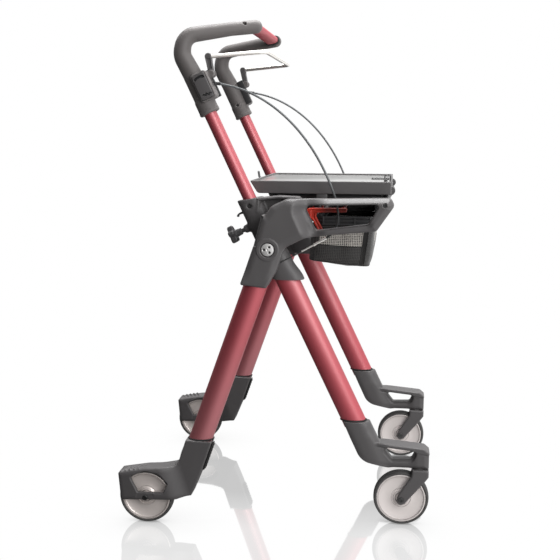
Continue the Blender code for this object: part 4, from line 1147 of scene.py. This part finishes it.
def build_cross_bars():
    reach = REAR_PLANE - 0.0192 - 0.0006
    for name in ("front_cross_bar", "rear_cross_bar"):
        middle = centre_of(name)
        shape = collared_bar(middle.x, middle.z, reach, 0.0080, 0.006, 0.0102)
        piece(name + "_tube", shape, black_metal, "rear", [name], 35)
    radius, z, half, back = 0.0051, 0.6147, 0.130, -0.020
    front = centre_of("front_cross_bar").x - 0.0084
    rear_bar = centre_of("rear_cross_bar")
    corners = [(front, -half, z, 0), (back, -half, z, 0.022), (back, half, z, 0.022), (front, half, z, 0)]
    path = rounded(corners, 10)
    posts = []
    for s in (-1, 1):
        foot, top = rear_bar.z + 0.0083, z - 0.003
        posts.append(bar((rear_bar.x, s * half, foot), (rear_bar.x, s * half, top), 0.0040, 20))
        posts.append(bar((rear_bar.x, s * half, foot), (rear_bar.x, s * half, foot + 0.004), 0.0070, 24))
    shape = joined(tube(path, radius, 24), *posts)
    piece("tray_rail", shape, black_metal, "rear", ["tray_frame"], 50)


# ---- Handles ----

GRIP_PATH = rounded([
    (*front_point(0.2665, 0, FRONT_PLANE), 0), (*front_point(0.345, 0, FRONT_PLANE), 0.070),
    (-0.1755, 0.192, 0.870, 0.030), (-0.1705, 0.190, 0.904, 0.027), (-0.0900, 0.160, 0.9185, 0.060),
    (-0.0475, 0.1415, 0.9240, 0),
], 7)
# places on the grip, up and forward from the pivot
LEVER_UP, LEVER_FORWARD = 0.329, 0.033
HOUSING_UP, HOUSING_FORWARD = 0.3130, 0.0130
GRIP_SCREW_UP, GRIP_SCREW_FORWARD = 0.2940, -0.001


def grip_radii():
    """The grip's radius at each point of its path, thick up the socket and slimmer towards its front end."""
    lengths = [0.0]
    for a, b in zip(GRIP_PATH, GRIP_PATH[1:]):
        lengths.append(lengths[-1] + (b - a).length)
    radii = []
    for at in lengths:
        bend, straight = float(ease((at - 0.075) / 0.090)), float(ease((at - 0.145) / 0.060))
        radii.append(0.0174 - 0.0030 * bend - 0.0021 * straight)
    return radii


def grip_field(x, t, z):
    made = None
    radii = grip_radii()
    for a, b, ra, rb in zip(GRIP_PATH, GRIP_PATH[1:], radii, radii[1:]):
        part = line(x, t, z, a, b, ra, rb)
        made = part if made is None else np.minimum(made, part)
    up, forward = up_front(x, z)
    side = t - FRONT_PLANE
    away = np.sqrt(forward**2 + side**2)
    made = both(made, 0.2672 - up, 0.0022)
    collar = both(away - 0.0176 - 0.0010 * ease((0.2745 - up) / 0.004), np.abs(up - 0.2800) - 0.0130, 0.0016)
    made = blended(made, collar, 0.004)
    box_up, box_forward = np.abs(up - HOUSING_UP) - 0.0262, np.abs(forward - HOUSING_FORWARD) - 0.0152
    housing = both(both(box_up, box_forward, 0.006), np.abs(t - 0.1990) - 0.0195, 0.0030)
    made = blended(made, housing, 0.003)
    ear = disc(x, t, z, front_point(LEVER_UP, LEVER_FORWARD, 0.1928), 0.0068, 0.0118, 0.0016)
    made = blended(made, ear, 0.0030)
    slot = both(np.abs(t - 0.1920) - 0.0070, np.abs(up - 0.3290) - 0.0150)
    slot = both(slot, np.abs(forward - 0.0320) - 0.0125)
    made = cut(made, slot, 0.0008)
    tube_room = both(away - TUBE_ROOM, up - 0.3004)
    made = cut(made, tube_room, 0.0010)
    seat = disc(x, t, z, (-0.0655, 0.1605, 0.9312), 0.0036, 0.0085, axis=(0, 0.62, 0.785))
    made = cut(made, seat, 0.0008)
    inner_hole = disc(x, t, z, front_point(GRIP_SCREW_UP, GRIP_SCREW_FORWARD, 0.1745), 0.0031, 0.0050)
    made = cut(made, inner_hole, 0.0006)
    rebate = both(np.abs(forward - HOUSING_FORWARD) - 0.0124, np.abs(up - HOUSING_UP) - 0.0240, 0.003)
    return cut(made, both(rebate, 0.2165 - t), 0.0004)


COVER_STEPS = (
    (0.0072, 0.2985), (0.0118, 0.2958), (0.0135, 0.2988),
    (0.0176, 0.2948), (0.0192, 0.2976), (0.0238, 0.2956),
)


def cover_field(x, t, z):
    up, forward = up_front(x, z)
    bulge = 0.0008 * (1 - ((forward - HOUSING_FORWARD) / 0.0130) ** 2)
    flat = both(np.abs(forward - HOUSING_FORWARD) - 0.0120, np.abs(up - HOUSING_UP) - 0.0236, 0.0030)
    made = both(flat, np.abs(t - 0.2200) - 0.0024 - bulge, 0.0012)
    arc_away = np.sqrt((forward - HOUSING_FORWARD) ** 2 + (up - 0.3080) ** 2)
    ends = both(0.3200 - up, np.abs(forward - HOUSING_FORWARD) - 0.0100)
    curved = both(np.abs(arc_away - 0.0218) - 0.0024, ends, 0.0004)
    made = cut(made, both(curved, 0.2180 - t), 0.0003)
    for (fa, ua), (fb, ub) in zip(COVER_STEPS, COVER_STEPS[1:]):
        stroke = line(x, 0, z, front_point(ua, fa, 0), front_point(ub, fb, 0), 0.0014)
        made = cut(made, both(stroke, 0.2180 - t), 0.0003)
    return made


def lever_field(x, t, z):
    pivot, knee, top = front_point(LEVER_UP, LEVER_FORWARD, 0), (-0.1243, 0, 0.8560), (-0.1262, 0, 0.8672)
    flat = np.minimum(line(x, 0, z, pivot, knee, 0.0052, 0.0054), line(x, 0, z, knee, top, 0.0054, 0.0062))
    made = slab(flat, t, FRONT_PLANE, 0.0056, 0.0016)
    hollow = both(both(flat + 0.0022, 0.1950 - t), 0.8460 - z)
    made = cut(made, both(hollow, z - 0.8640), 0.0005)
    socket = line(x, t, z, (-0.1235, FRONT_PLANE, 0.8676), (-0.1000, 0.1885, 0.8696), 0.0038)
    pin = disc(x, t, z, front_point(LEVER_UP, LEVER_FORWARD, FRONT_PLANE), 0.0024, 0.0104)
    return cut(np.minimum(made, pin), socket, 0.0006)


def build_handles():
    low = (-0.205, 0.122, 0.748)
    high = (-0.022, 0.226, 0.944)
    shape = surface(grip_field, low, high, 0.00135)
    nodes = ["grip", "brake_housing"]
    paired("grip_loop", shape, grip_grey, "handles", nodes)
    corner = front_point(0.3135, HOUSING_FORWARD, 0)
    low = (corner[0] - 0.030, 0.2160, corner[2] - 0.033)
    high = (corner[0] + 0.030, 0.2250, corner[2] + 0.033)
    shape = surface(cover_field, low, high, 0.0005)
    paired("housing_cover", shape, body_grey, "handles", ["brake_cover"])
    place = Matrix(((RISE_Z, 0, RISE_X, PIVOT_X), (0, 1, 0, 0), (-RISE_X, 0, RISE_Z, PIVOT_Z), (0, 0, 0, 1)))
    inlay = rounded_box((0.0020, 0.2160, 0.2890), (0.0240, 0.2183, 0.3370), 0.0006, 2, place)
    inner = rounded_box((0.0170, 0.1790, 0.2875), (0.0312, 0.1846, 0.3400), 0.0016, 3, place)
    nut = rounded_box((0.0300, 0.1965, 0.3065), (0.0345, 0.2035, 0.3135), 0.0010, 3, place)
    shape = joined(inlay, inner, nut)
    paired("housing_insert", shape, black_plastic, "handles", [], 35)
    shape = upright_shape(-0.110, 0.300, front_point, FRONT_PLANE, 0.012, 0.012, 0.0015)
    paired("handle_upright", shape, front_red, "handles", ["handle_tube"], 40)
    low, high = (-0.140, 0.178, 0.826), (-0.108, 0.206, 0.880)
    shape = surface(lever_field, low, high, 0.0006)
    paired("lever", shape, body_grey, "brake_bow", ["brake_lever"])
    build_grip_bar()
    build_bow()


def bar_section(grow, count=40, power=2.6):
    """Points round the flat oval of the bar between the grips."""
    tilt = math.radians(12)
    points = []
    for k in range(count):
        angle = 2 * math.pi * k / count
        c, s = math.cos(angle), math.sin(angle)
        a = (0.0128 + grow) * math.copysign(abs(c) ** (2 / power), c)
        b = (0.0073 + grow) * math.copysign(abs(s) ** (2 / power), s)
        points.append((a * math.cos(tilt) - b * math.sin(tilt), a * math.sin(tilt) + b * math.cos(tilt)))
    return points


def build_grip_bar():
    middle = centre_of("handle_cross_bar")
    x, z = middle.x, middle.z + 0.0028

    def solid(rows):
        return loft([[(x + a, y, z + b) for a, b in bar_section(grow)] for y, grow in rows])

    rows = [(-0.1368, -0.0006), (-0.1362, 0), (0.1362, 0), (0.1368, -0.0006)]
    piece("grip_bar", solid(rows), bar_red, "handles", ["handle_cross_bar"], 40)
    collar = [(0.1215, 0.0012), (0.1222, 0.0022), (0.1330, 0.0030), (0.1360, 0.0030)]
    paired("bar_collar", solid(collar), black_rubber, "handles", [], 40)


def build_bow():
    near = [(-0.1230, 0.1920, 0.8676, 0), (-0.0230, 0.1760, 0.8765, 0.016)]
    far = [(x, -t, z, radius) for x, t, z, radius in reversed(near)]
    shape = tube(rounded(near + far, 12), 0.0038, 20)
    piece("brake_bow_rod", shape, satin_steel, "brake_bow", ["brake_bow"], 50)


# ---- Cables ----


def build_cables():
    """Two sheaths a side that meet on the front frame; neither is attached to a body."""
    for side, out in SIDES.items():
        start = Vector(front_point(0.310, 0.0330, out * 0.200))
        level = start + Vector((0.0950, 0, -0.0095))
        drop = Vector((0.1090, out * 0.2118, 0.6133))
        upper = bezier(start, level, drop + Vector((-0.0396, 0, 0.1186)), drop, 61)
        foot = Vector((0.0850, out * 0.2118, 0.5391))
        lower = bezier(drop, drop + Vector((0.008, 0, -0.035)), foot + Vector((0.032, 0, 0.018)), foot, 25)
        split = 40
        for name, path, bodies, ends in (
            ("upper", upper[: split + 1], ("handles", "frame"), (upper[0], upper[split])),
            ("lower", upper[split:] + lower[1:], ("frame", "rear"), (upper[split], upper[60])),
        ):
            shape, nodes = tube(path, 0.0021, 14), [f"{side}_brake_cable"] if name == "upper" else []
            made = piece(f"{side}_cable_{name}", shape, cable_sheath, None, nodes)
            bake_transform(made)
        build_adjuster(side, out)
        ferrule = tube([start + (level - start) * s for s in (-0.02, 0.10)], 0.0030, 16)
        shape = ferrule
        piece(f"{side}_cable_ferrule", shape, black_plastic, "handles", [], 40)


def build_adjuster(side, out):
    y = out * 0.2122
    top, joint, low = Vector((0.0860, y, 0.5396)), Vector((0.0470, y, 0.5180)), Vector((0.0130, y, 0.4992))
    along = (top - joint).normalized()
    length = (top - joint).length
    path, radii = [], []
    for k in range(90):
        share = k / 89
        path.append(joint + along * length * share)
        thread = 1 + 0.09 * math.sin(share * length / 0.0010 * 2 * math.pi)
        radii.append(thread * 0.00165 / 0.0022 if share < 0.62 else 1.0)
    barrel = tube(path, 0.0022, 18, radii)
    nut = tube([joint + along * length * s for s in (0.58, 0.66)], 0.0030, 6)
    tip = tube([top - along * 0.002, top + along * 0.008], 0.0026, 16)
    shape = joined(barrel, nut, tip)
    piece(f"{side}_adjuster", shape, satin_steel, "rear", [f"{side}_cable_adjuster"], 40)
    wire = tube([low - along * 0.006, joint + along * 0.004], 0.0009, 10)
    sleeve = tube([joint - along * 0.018, joint + along * 0.001], 0.0017, 14)
    shape = joined(wire, sleeve)
    piece(f"{side}_inner_wire", shape, dark_steel, "rear", [], 40)


# ---- Tray, lever and bag ----

TRAY_SIDE = rounded([
    (-0.0548, 0.6440, 0.0015), (0.2080, 0.6440, 0.0015), (0.2080, 0.6205, 0.002), (-0.0400, 0.6205, 0.008),
])


def tray_field(x, t, z):
    """The pan: a shallow well above, a ribbed hollow below."""
    flat = outline(x, z, TRAY_SIDE)
    made = slab(flat, t, 0.0, 0.1680, 0.0014)
    well = both(both(-0.0495 - x, x - 0.2030), np.abs(t) - 0.1630, 0.0060)
    made = cut(made, both(well, 0.6400 - z), 0.0010)
    under = both(both(-0.0310 - x, x - 0.2020), np.abs(t) - 0.1620, 0.006)
    made = cut(made, both(under, z - 0.6265), 0.0010)
    for at in (0.010, 0.060, 0.110, 0.160):
        rib = both(both(np.abs(x - at) - 0.0012, np.abs(t) - 0.1640), np.abs(z - 0.6250) - 0.0032)
        made = np.minimum(made, rib)
    return made


def build_tray():
    shape = surface(tray_field, (-0.061, -0.174, 0.614), (0.214, 0.174, 0.650), 0.0014)
    piece("tray_pan", shape, body_grey, "tray", ["tray"])
    panel = rounded_box((-0.0490, -0.1625, 0.6390), (0.2025, 0.1625, 0.6408), 0.0005, 2)
    shape = panel
    piece("tray_panel", shape, tray_panel, "tray", [], 35)
    bails = (
        ([(0.1950, -0.1500, 0.6405, 0), (0.1950, -0.1500, 0.6548, 0.0016),
          (0.2058, -0.1500, 0.6548, 0.0016), (0.2058, -0.1500, 0.6405, 0)], 0.0012),
        ([(0.1980, 0.0080, 0.6422, 0), (0.1680, 0.0080, 0.6422, 0.0030),
          (0.1680, -0.0200, 0.6422, 0.0030), (0.1980, -0.0200, 0.6422, 0)], 0.0012),
        ([(-0.0520, -0.0040, 0.6390, 0), (-0.0610, -0.0040, 0.6420, 0.0030),
          (-0.0630, -0.0040, 0.6535, 0.0020), (-0.0630, 0.0060, 0.6535, 0.0020),
          (-0.0610, 0.0060, 0.6420, 0.0030), (-0.0520, 0.0060, 0.6390, 0)], 0.0014),
    )
    wires = [tube(rounded(corners), radius, 12) for corners, radius in bails]
    clips = [
        rounded_box((0.1935, -0.1540, 0.6405), (0.2000, -0.1460, 0.6480), 0.0010),
        rounded_box((0.1960, -0.0220, 0.6405), (0.2020, 0.0100, 0.6440), 0.0010),
        rounded_box((-0.0545, -0.0090, 0.6300), (-0.0500, 0.0090, 0.6430), 0.0010),
        rounded_box((0.0700, -0.1660, 0.6050), (0.0900, -0.1615, 0.6215), 0.0016),
    ]
    for out in (-1, 1):
        knob = [
            (0.0020, -0.006), (0.0074, -0.006), (0.0082, -0.0050), (0.0082, 0.0050), (0.0074, 0.006),
            (0.0020, 0.006),
        ]
        clips.append(lathe(knob, (0.2065, out * 0.148, 0.6270), 40))
    shape = joined(*wires)
    piece("tray_wires", shape, dark_steel, "tray", [], 50)
    shape = joined(*clips)
    piece("tray_catches", shape, dark_grey, "tray", [], 35)


LEVER_ARM = rounded([
    (0.0335, 0.5785, 0.010), (0.0580, 0.5955, 0.012), (0.1290, 0.5962, 0.003), (0.1270, 0.5880, 0.002),
    (0.0730, 0.5872, 0.004), (0.0710, 0.5806, 0.004), (0.0850, 0.5540, 0.002), (0.0765, 0.5520, 0.002),
    (0.0616, 0.5790, 0.004), (0.0500, 0.5640, 0.006), (0.0340, 0.5530, 0.010),
])


def lever_arm_field(x, t, z):
    flat = outline(x, z, LEVER_ARM)
    made = slab(flat, t, 0.180, 0.0039, 0.0012)
    pocket = both(both(flat + 0.0028, 0.062 - x), 0.1820 - t)
    made = cut(made, pocket, 0.0006)
    bar_at = centre_of("rear_cross_bar")
    away = away_from(x, z, bar_at.x, bar_at.z)
    made = np.minimum(made, slab(away - 0.0118, t, 0.180, 0.0050, 0.0008))
    return cut(made, away - 0.0083, 0.0004)


def build_lever():
    shape = surface(lever_arm_field, (0.028, 0.172, 0.545), (0.132, 0.188, 0.598), 0.0009)
    both_sides = [on_side(shape, out) for out in (1, -1)]
    rod = bar((0.118, -0.1790, 0.5906), (0.118, 0.1790, 0.5906), 0.0036, 24)
    shape = joined(rod, *both_sides)
    piece("fold_lever_frame", shape, red_plastic, "fold_lever", ["fold_lever"])


def build_bag_ring():
    """The black hoop that the bag hangs from: three ribs, upright dividers and front tabs."""
    back, front, half = 0.0730, 0.1800, 0.1605
    bend = 0.010
    corners = [(back, -half, bend), (front, -half, bend), (front, half, bend), (back, half, bend)]
    loop = [p.to_3d() for p in rounded(corners)]
    parts = []
    rib, band = (0.0030, 0.0016), (0.0008, 0.0074)
    for z, (a, b) in ((0.5645, rib), (0.5710, rib), (0.5775, rib), (0.5710, band)):
        section = [(-a, -b), (a, -b), (a, b), (-a, b)]
        parts.append(tube([p + Vector((0, 0, z)) for p in loop], a, section=section, closed=True))
    dividers = [(back + 0.010 + k * (front - back - 0.020) / 3, s * half, 0.0016, 0.0036)
                for k in range(4) for s in (-1, 1)]
    dividers += [(x, -half + 0.010 + k * (2 * half - 0.020) / 8, 0.0036, 0.0016)
                 for k in range(9) for x in (back, front)]
    for x, y, a, b in dividers:
        parts.append(rounded_box((x - a, y - b, 0.5635), (x + a, y + b, 0.5790), 0.0006, 2))
    reach = centre_of("front_cross_bar").x - 0.0084
    for s in (-1, 1):
        near, far = sorted((s * 0.105, s * 0.121))
        parts.append(rounded_box((front - 0.0035, near, 0.5700), (reach, far, 0.6060), 0.0020, 3))
    shape = joined(*parts)
    piece("bag_hoop", shape, black_plastic, "rear", ["basket_frame"], 35)


BAG_ROUND, BAG_DOWN = 104, 17


def bag_ring_point(share, top):
    """A point on the bag's outline, at a share of the way round, at its top or its bottom."""
    back, front, half = (0.0610, 0.1780, 0.1590) if top else (0.0560, 0.1680, 0.1530)
    bend = 0.012
    corners = [(back, -half, bend), (front, -half, bend), (front, half, bend), (back, half, bend)]
    loop = rounded(corners, 4)
    lengths = [(loop[(i + 1) % len(loop)] - p).length for i, p in enumerate(loop)]
    want = share * sum(lengths)
    for i, length in enumerate(lengths):
        if want <= length:
            return loop[i].lerp(loop[(i + 1) % len(loop)], want / length)
        want -= length
    return loop[0]


def bag_floor(x):
    return 0.4955 - 0.0105 * (x - 0.056) / 0.112


def bag_mesh():
    """A lofted shell: rows down the wall, then rows in to the middle of the floor."""
    points, faces = [], []
    for j in range(BAG_DOWN + 1):
        down = j / BAG_DOWN
        for i in range(BAG_ROUND):
            a, b = bag_ring_point(i / BAG_ROUND, True), bag_ring_point(i / BAG_ROUND, False)
            flat = a.lerp(b, down)
            points.append((flat.x, flat.y, 0.5610 + (bag_floor(flat.x) - 0.5610) * down))
    rings = 7
    for j in range(1, rings + 1):
        inward = j / (rings + 0.6)
        for i in range(BAG_ROUND):
            b = bag_ring_point(i / BAG_ROUND, False)
            centre = Vector((0.1135, max(-0.1, min(0.1, b.y))))
            flat = b.lerp(centre, inward)
            points.append((flat.x, flat.y, bag_floor(flat.x)))
    rows = BAG_DOWN + rings
    for j in range(rows):
        for i in range(BAG_ROUND):
            k = (i + 1) % BAG_ROUND
            a, b = j * BAG_ROUND, (j + 1) * BAG_ROUND
            faces.append([a + i, b + i, b + k, a + k])
    shape = bmesh.new()
    verts = [shape.verts.new(p) for p in points]
    for face in faces:
        shape.faces.new([verts[i] for i in face])
    last = [verts[rows * BAG_ROUND + i] for i in range(BAG_ROUND)]
    edges = [e for e in shape.edges if e.verts[0] in last and e.verts[1] in last and len(e.link_faces) == 1]
    bmesh.ops.holes_fill(shape, edges=edges)
    bmesh.ops.recalc_face_normals(shape, faces=shape.faces)
    mesh = bpy.data.meshes.new("bag_body")
    shape.to_mesh(mesh)
    shape.free()
    return mesh


def simulate_bag(made):
    """Cloth held by the hoop and the binding round its floor: the walls belly and the floor sags."""
    pins = made.vertex_groups.new(name="pins")
    edge = BAG_DOWN * BAG_ROUND
    pins.add(list(range(2 * BAG_ROUND)) + list(range(edge, edge + BAG_ROUND)), 1.0, "REPLACE")
    cloth = made.modifiers.new("cloth", "CLOTH")
    cloth.settings.quality = 6
    cloth.settings.mass = 0.25
    cloth.settings.tension_stiffness = cloth.settings.compression_stiffness = 22
    cloth.settings.shear_stiffness = 8
    cloth.settings.bending_stiffness = 0.7
    cloth.settings.vertex_group_mass = "pins"
    cloth.settings.use_pressure = True
    cloth.settings.uniform_pressure_force = 0.35
    cloth.settings.effector_weights.gravity = 0.6
    cloth.settings.shrink_min = -0.010
    cloth.point_cache.frame_start, cloth.point_cache.frame_end = 1, 26
    scene = bpy.context.scene
    for number in range(1, 26):
        scene.frame_set(number)
    graph = bpy.context.evaluated_depsgraph_get()
    settled = bpy.data.meshes.new_from_object(made.evaluated_get(graph))
    made.modifiers.clear()
    rest = np.array([v.co for v in made.data.vertices])
    moved = np.array([v.co for v in settled.vertices])
    step = moved - rest
    far = np.linalg.norm(step, axis=1, keepdims=True)
    cap = 0.012
    moved = rest + step * np.minimum(1, cap / np.maximum(far, 1e-9))
    made.data.vertices.foreach_set("co", moved.ravel())
    made.data.update()
    scene.frame_set(1)
    made.vertex_groups.clear()


def bag_zone(face):
    """Which cloth a wall face is: 1 for the pale net band, 2 for binding, 0 for the body."""
    j, i = divmod(face, BAG_ROUND)
    if j >= BAG_DOWN:
        return 0
    if j < 2:
        return 2
    share = (i + 0.5) / BAG_ROUND
    flat = bag_ring_point(share, True)
    end_wall = abs(flat.y) > 0.150
    if end_wall and 0.082 < flat.x < 0.158:
        return 1 if j < 9 else 0
    if end_wall and (0.158 <= flat.x < 0.172):
        return 2
    if not end_wall and flat.x > 0.15 and abs(flat.y) < 0.120:
        return 1 if j < 9 else 0
    return 0


def build_bag():
    mesh = bag_mesh()
    made = bpy.data.objects.new("bag_body", mesh)
    bpy.context.scene.collection.objects.link(made)
    simulate_bag(made)
    for finish in (bag_cloth, bag_net, bag_band):
        made.data.materials.append(finish)
    for face in made.data.polygons:
        face.material_index = bag_zone(face.index)
    seams = bag_seams(made)
    skin = made.modifiers.new("skin", "SOLIDIFY")
    skin.thickness, skin.offset = 0.0014, 0
    finer = made.modifiers.new("finer", "SUBSURF")
    finer.levels = finer.render_levels = 1
    made.data.shade_smooth()
    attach(made, "rear")
    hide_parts("basket")
    shape = seams
    piece("bag_seams", shape, bag_band, "rear", [], 60)


def bag_seams(made):
    """Raised bindings along the top hem, under the net, round the floor and up the corners."""
    at = [v.co.copy() for v in made.data.vertices]
    middle = Vector((0.115, 0, 0))
    parts = []

    def proud(index, by=0.0007):
        here = at[index]
        out = Vector((here.x - middle.x, here.y * 0.7, 0)).normalized()
        return here + out * by

    def calmed(path, closed):
        for _ in range(2):
            last = len(path) - 1
            path = [
                p if not closed and i in (0, last) else p / 2 + (path[i - 1] + path[(i + 1) % len(path)]) / 4
                for i, p in enumerate(path)
            ]
        return path

    for row, radius in ((0, 0.0018), (2, 0.0011), (9, 0.0010), (BAG_DOWN, 0.0012)):
        path = [proud(row * BAG_ROUND + i) for i in range(BAG_ROUND)]
        parts.append(tube(calmed(path, True), radius, 8, closed=True))
    for x_target in (0.158, 0.172):
        for out in (-1, 1):
            want = Vector((x_target, out * 0.159))
            column = min(range(BAG_ROUND), key=lambda i: (bag_ring_point(i / BAG_ROUND, True) - want).length)
            path = [proud(row * BAG_ROUND + column) for row in range(BAG_DOWN)]
            parts.append(tube(calmed(path, False), 0.0009, 8))
    return joined(*parts)


# ---- Wheels ----


def disc_profile(bore, hub_half, recess):
    """(radius, along) round half of a wheel disc: rim lip, dished web, hub rings and bore."""
    half = [
        (0.04595, 0.0098), (0.0449, 0.0104), (0.0436, 0.0104), (0.0427, 0.0094), (0.0415, 0.0078),
        (0.0400, 0.0070), (0.0300, 0.0062 - recess), (0.0205, 0.0060 - recess), (0.0193, 0.0066 - recess),
        (0.0185, 0.0066 - recess), (0.0178, 0.0058 - recess), (0.0150, 0.0058), (0.0140, 0.0072),
        (0.0128, 0.0080), (0.0114, 0.0082), (0.0112, 0.0066), (0.0100, 0.0066), (0.0098, 0.0080),
        (0.0086, hub_half - 0.0006), (0.0078, hub_half), (bore, hub_half),
    ]
    return half + [(radius, -along) for radius, along in reversed(half)]


def tyre_profile():
    half = [
        (0.0463, 0.0100), (0.0470, 0.0112), (0.0482, 0.0115), (0.0494, 0.0110), (0.0505, 0.0096),
        (0.0513, 0.0075), (0.0518, 0.0050), (0.0520, 0.0022),
    ]
    return half + [(radius, -along) for radius, along in reversed(half)]


def build_wheels():
    for side, out in SIDES.items():
        for end, axle, finish in (("front", FRONT_AXLE, front_disc), ("rear", REAR_AXLE, rear_disc)):
            centre = (axle.x, out * abs(axle.y), axle.z)
            body = f"{side}_{end}_wheel"
            shape = lathe(disc_profile(0.0040, 0.0112, 0.0012), centre, 112)
            piece(f"{body}_face", shape, finish, body, [f"{body}_disc"], 32)
            shape = lathe(tyre_profile(), centre, 112)
            piece(f"{side}_{end}_tread", shape, tyre_rubber, body, [f"{side}_{end}_tyre"], 50)


def build_casters():
    shape = surface(fork_field, (0.220, 0.166, 0.034), (0.298, 0.218, 0.118), 0.0011)
    paired("caster_blades", shape, body_grey, "{side}_caster", ["caster_fork"])
    stem = bar((CASTER_X, FRONT_PLANE, 0.1100), (CASTER_X, FRONT_PLANE, 0.1200), 0.0060, 28)
    paired("caster_stem", stem, bright_steel, "{side}_caster", [], 40)


# ---- Stage ----


def softbox(name, place, target, size, power, colour=(1, 1, 1)):
    data = bpy.data.lights.new(name, "AREA")
    data.shape = "RECTANGLE"
    data.size, data.size_y = size
    data.energy = power
    data.color = colour
    made = bpy.data.objects.new(name, data)
    bpy.context.scene.collection.objects.link(made)
    made.location = place
    made.rotation_euler = (Vector(target) - Vector(place)).to_track_quat("-Z", "Y").to_euler()


def studio_world():
    """White to the camera; to the object, dark to the left and bright to the right and above."""
    world = bpy.data.worlds.new("studio")
    bpy.context.scene.world = world
    tree = Tree("studio", world)
    studio = tree.nodes["Background"]
    tree.put(studio.inputs["Color"], (1, 1, 1, 1))
    tree.put(studio.inputs["Strength"], studio_level(tree, *tree.axes()))
    plain = tree.node("ShaderNodeBackground", {"Color": (1, 1, 1, 1)})
    tree.done_by_ray(studio, plain, "World Output")


def build_stage():
    bpy.ops.mesh.primitive_plane_add(size=60, location=(0, 0, -0.0004))
    floor = bpy.context.object
    floor.name = "floor"
    floor.data.materials.append(floor_finish())
    studio_world()
    aim = (0.0, 0.0, 0.45)
    softbox("overhead", (0.1, 0.3, 2.3), aim, (1.5, 1.1), 72)
    softbox("front right", (1.6, -2.3, 1.3), aim, (1.3, 2.2), 48)
    softbox("rim", (-2.0, 0.6, 1.4), aim, (0.3, 1.8), 4)
    bpy.context.scene.view_settings.view_transform = "Standard"
    bpy.context.scene.view_settings.look = "None"


def build_camera():
    data = bpy.data.cameras.new("camera")
    data.lens, data.sensor_width = 60.3, 36.0
    data.clip_start, data.clip_end = 0.05, 80
    made = bpy.data.objects.new("camera", data)
    bpy.context.scene.collection.objects.link(made)
    yaw, pitch, roll = 0.124, 0.157, 0.005
    ahead = Vector((-math.sin(yaw) * math.cos(pitch), math.cos(yaw) * math.cos(pitch), -math.sin(pitch)))
    right = ahead.cross(Vector((0, 0, 1))).normalized()
    up = right.cross(ahead)
    level, tall = right * math.cos(roll) + up * math.sin(roll), up * math.cos(roll) - right * math.sin(roll)
    turn = Matrix((level, tall, -ahead)).transposed().to_4x4()
    made.matrix_world = Matrix.Translation((0.219, -1.900, 0.734)) @ turn
    bpy.context.scene.camera = made


build_front_frame()
build_bolts()
build_small_screws()
build_knobs()
build_rear_frame()
build_handles()
build_cables()
build_tray()
build_lever()
build_bag_ring()
build_bag()
build_wheels()
build_casters()
build_stage()
build_camera()
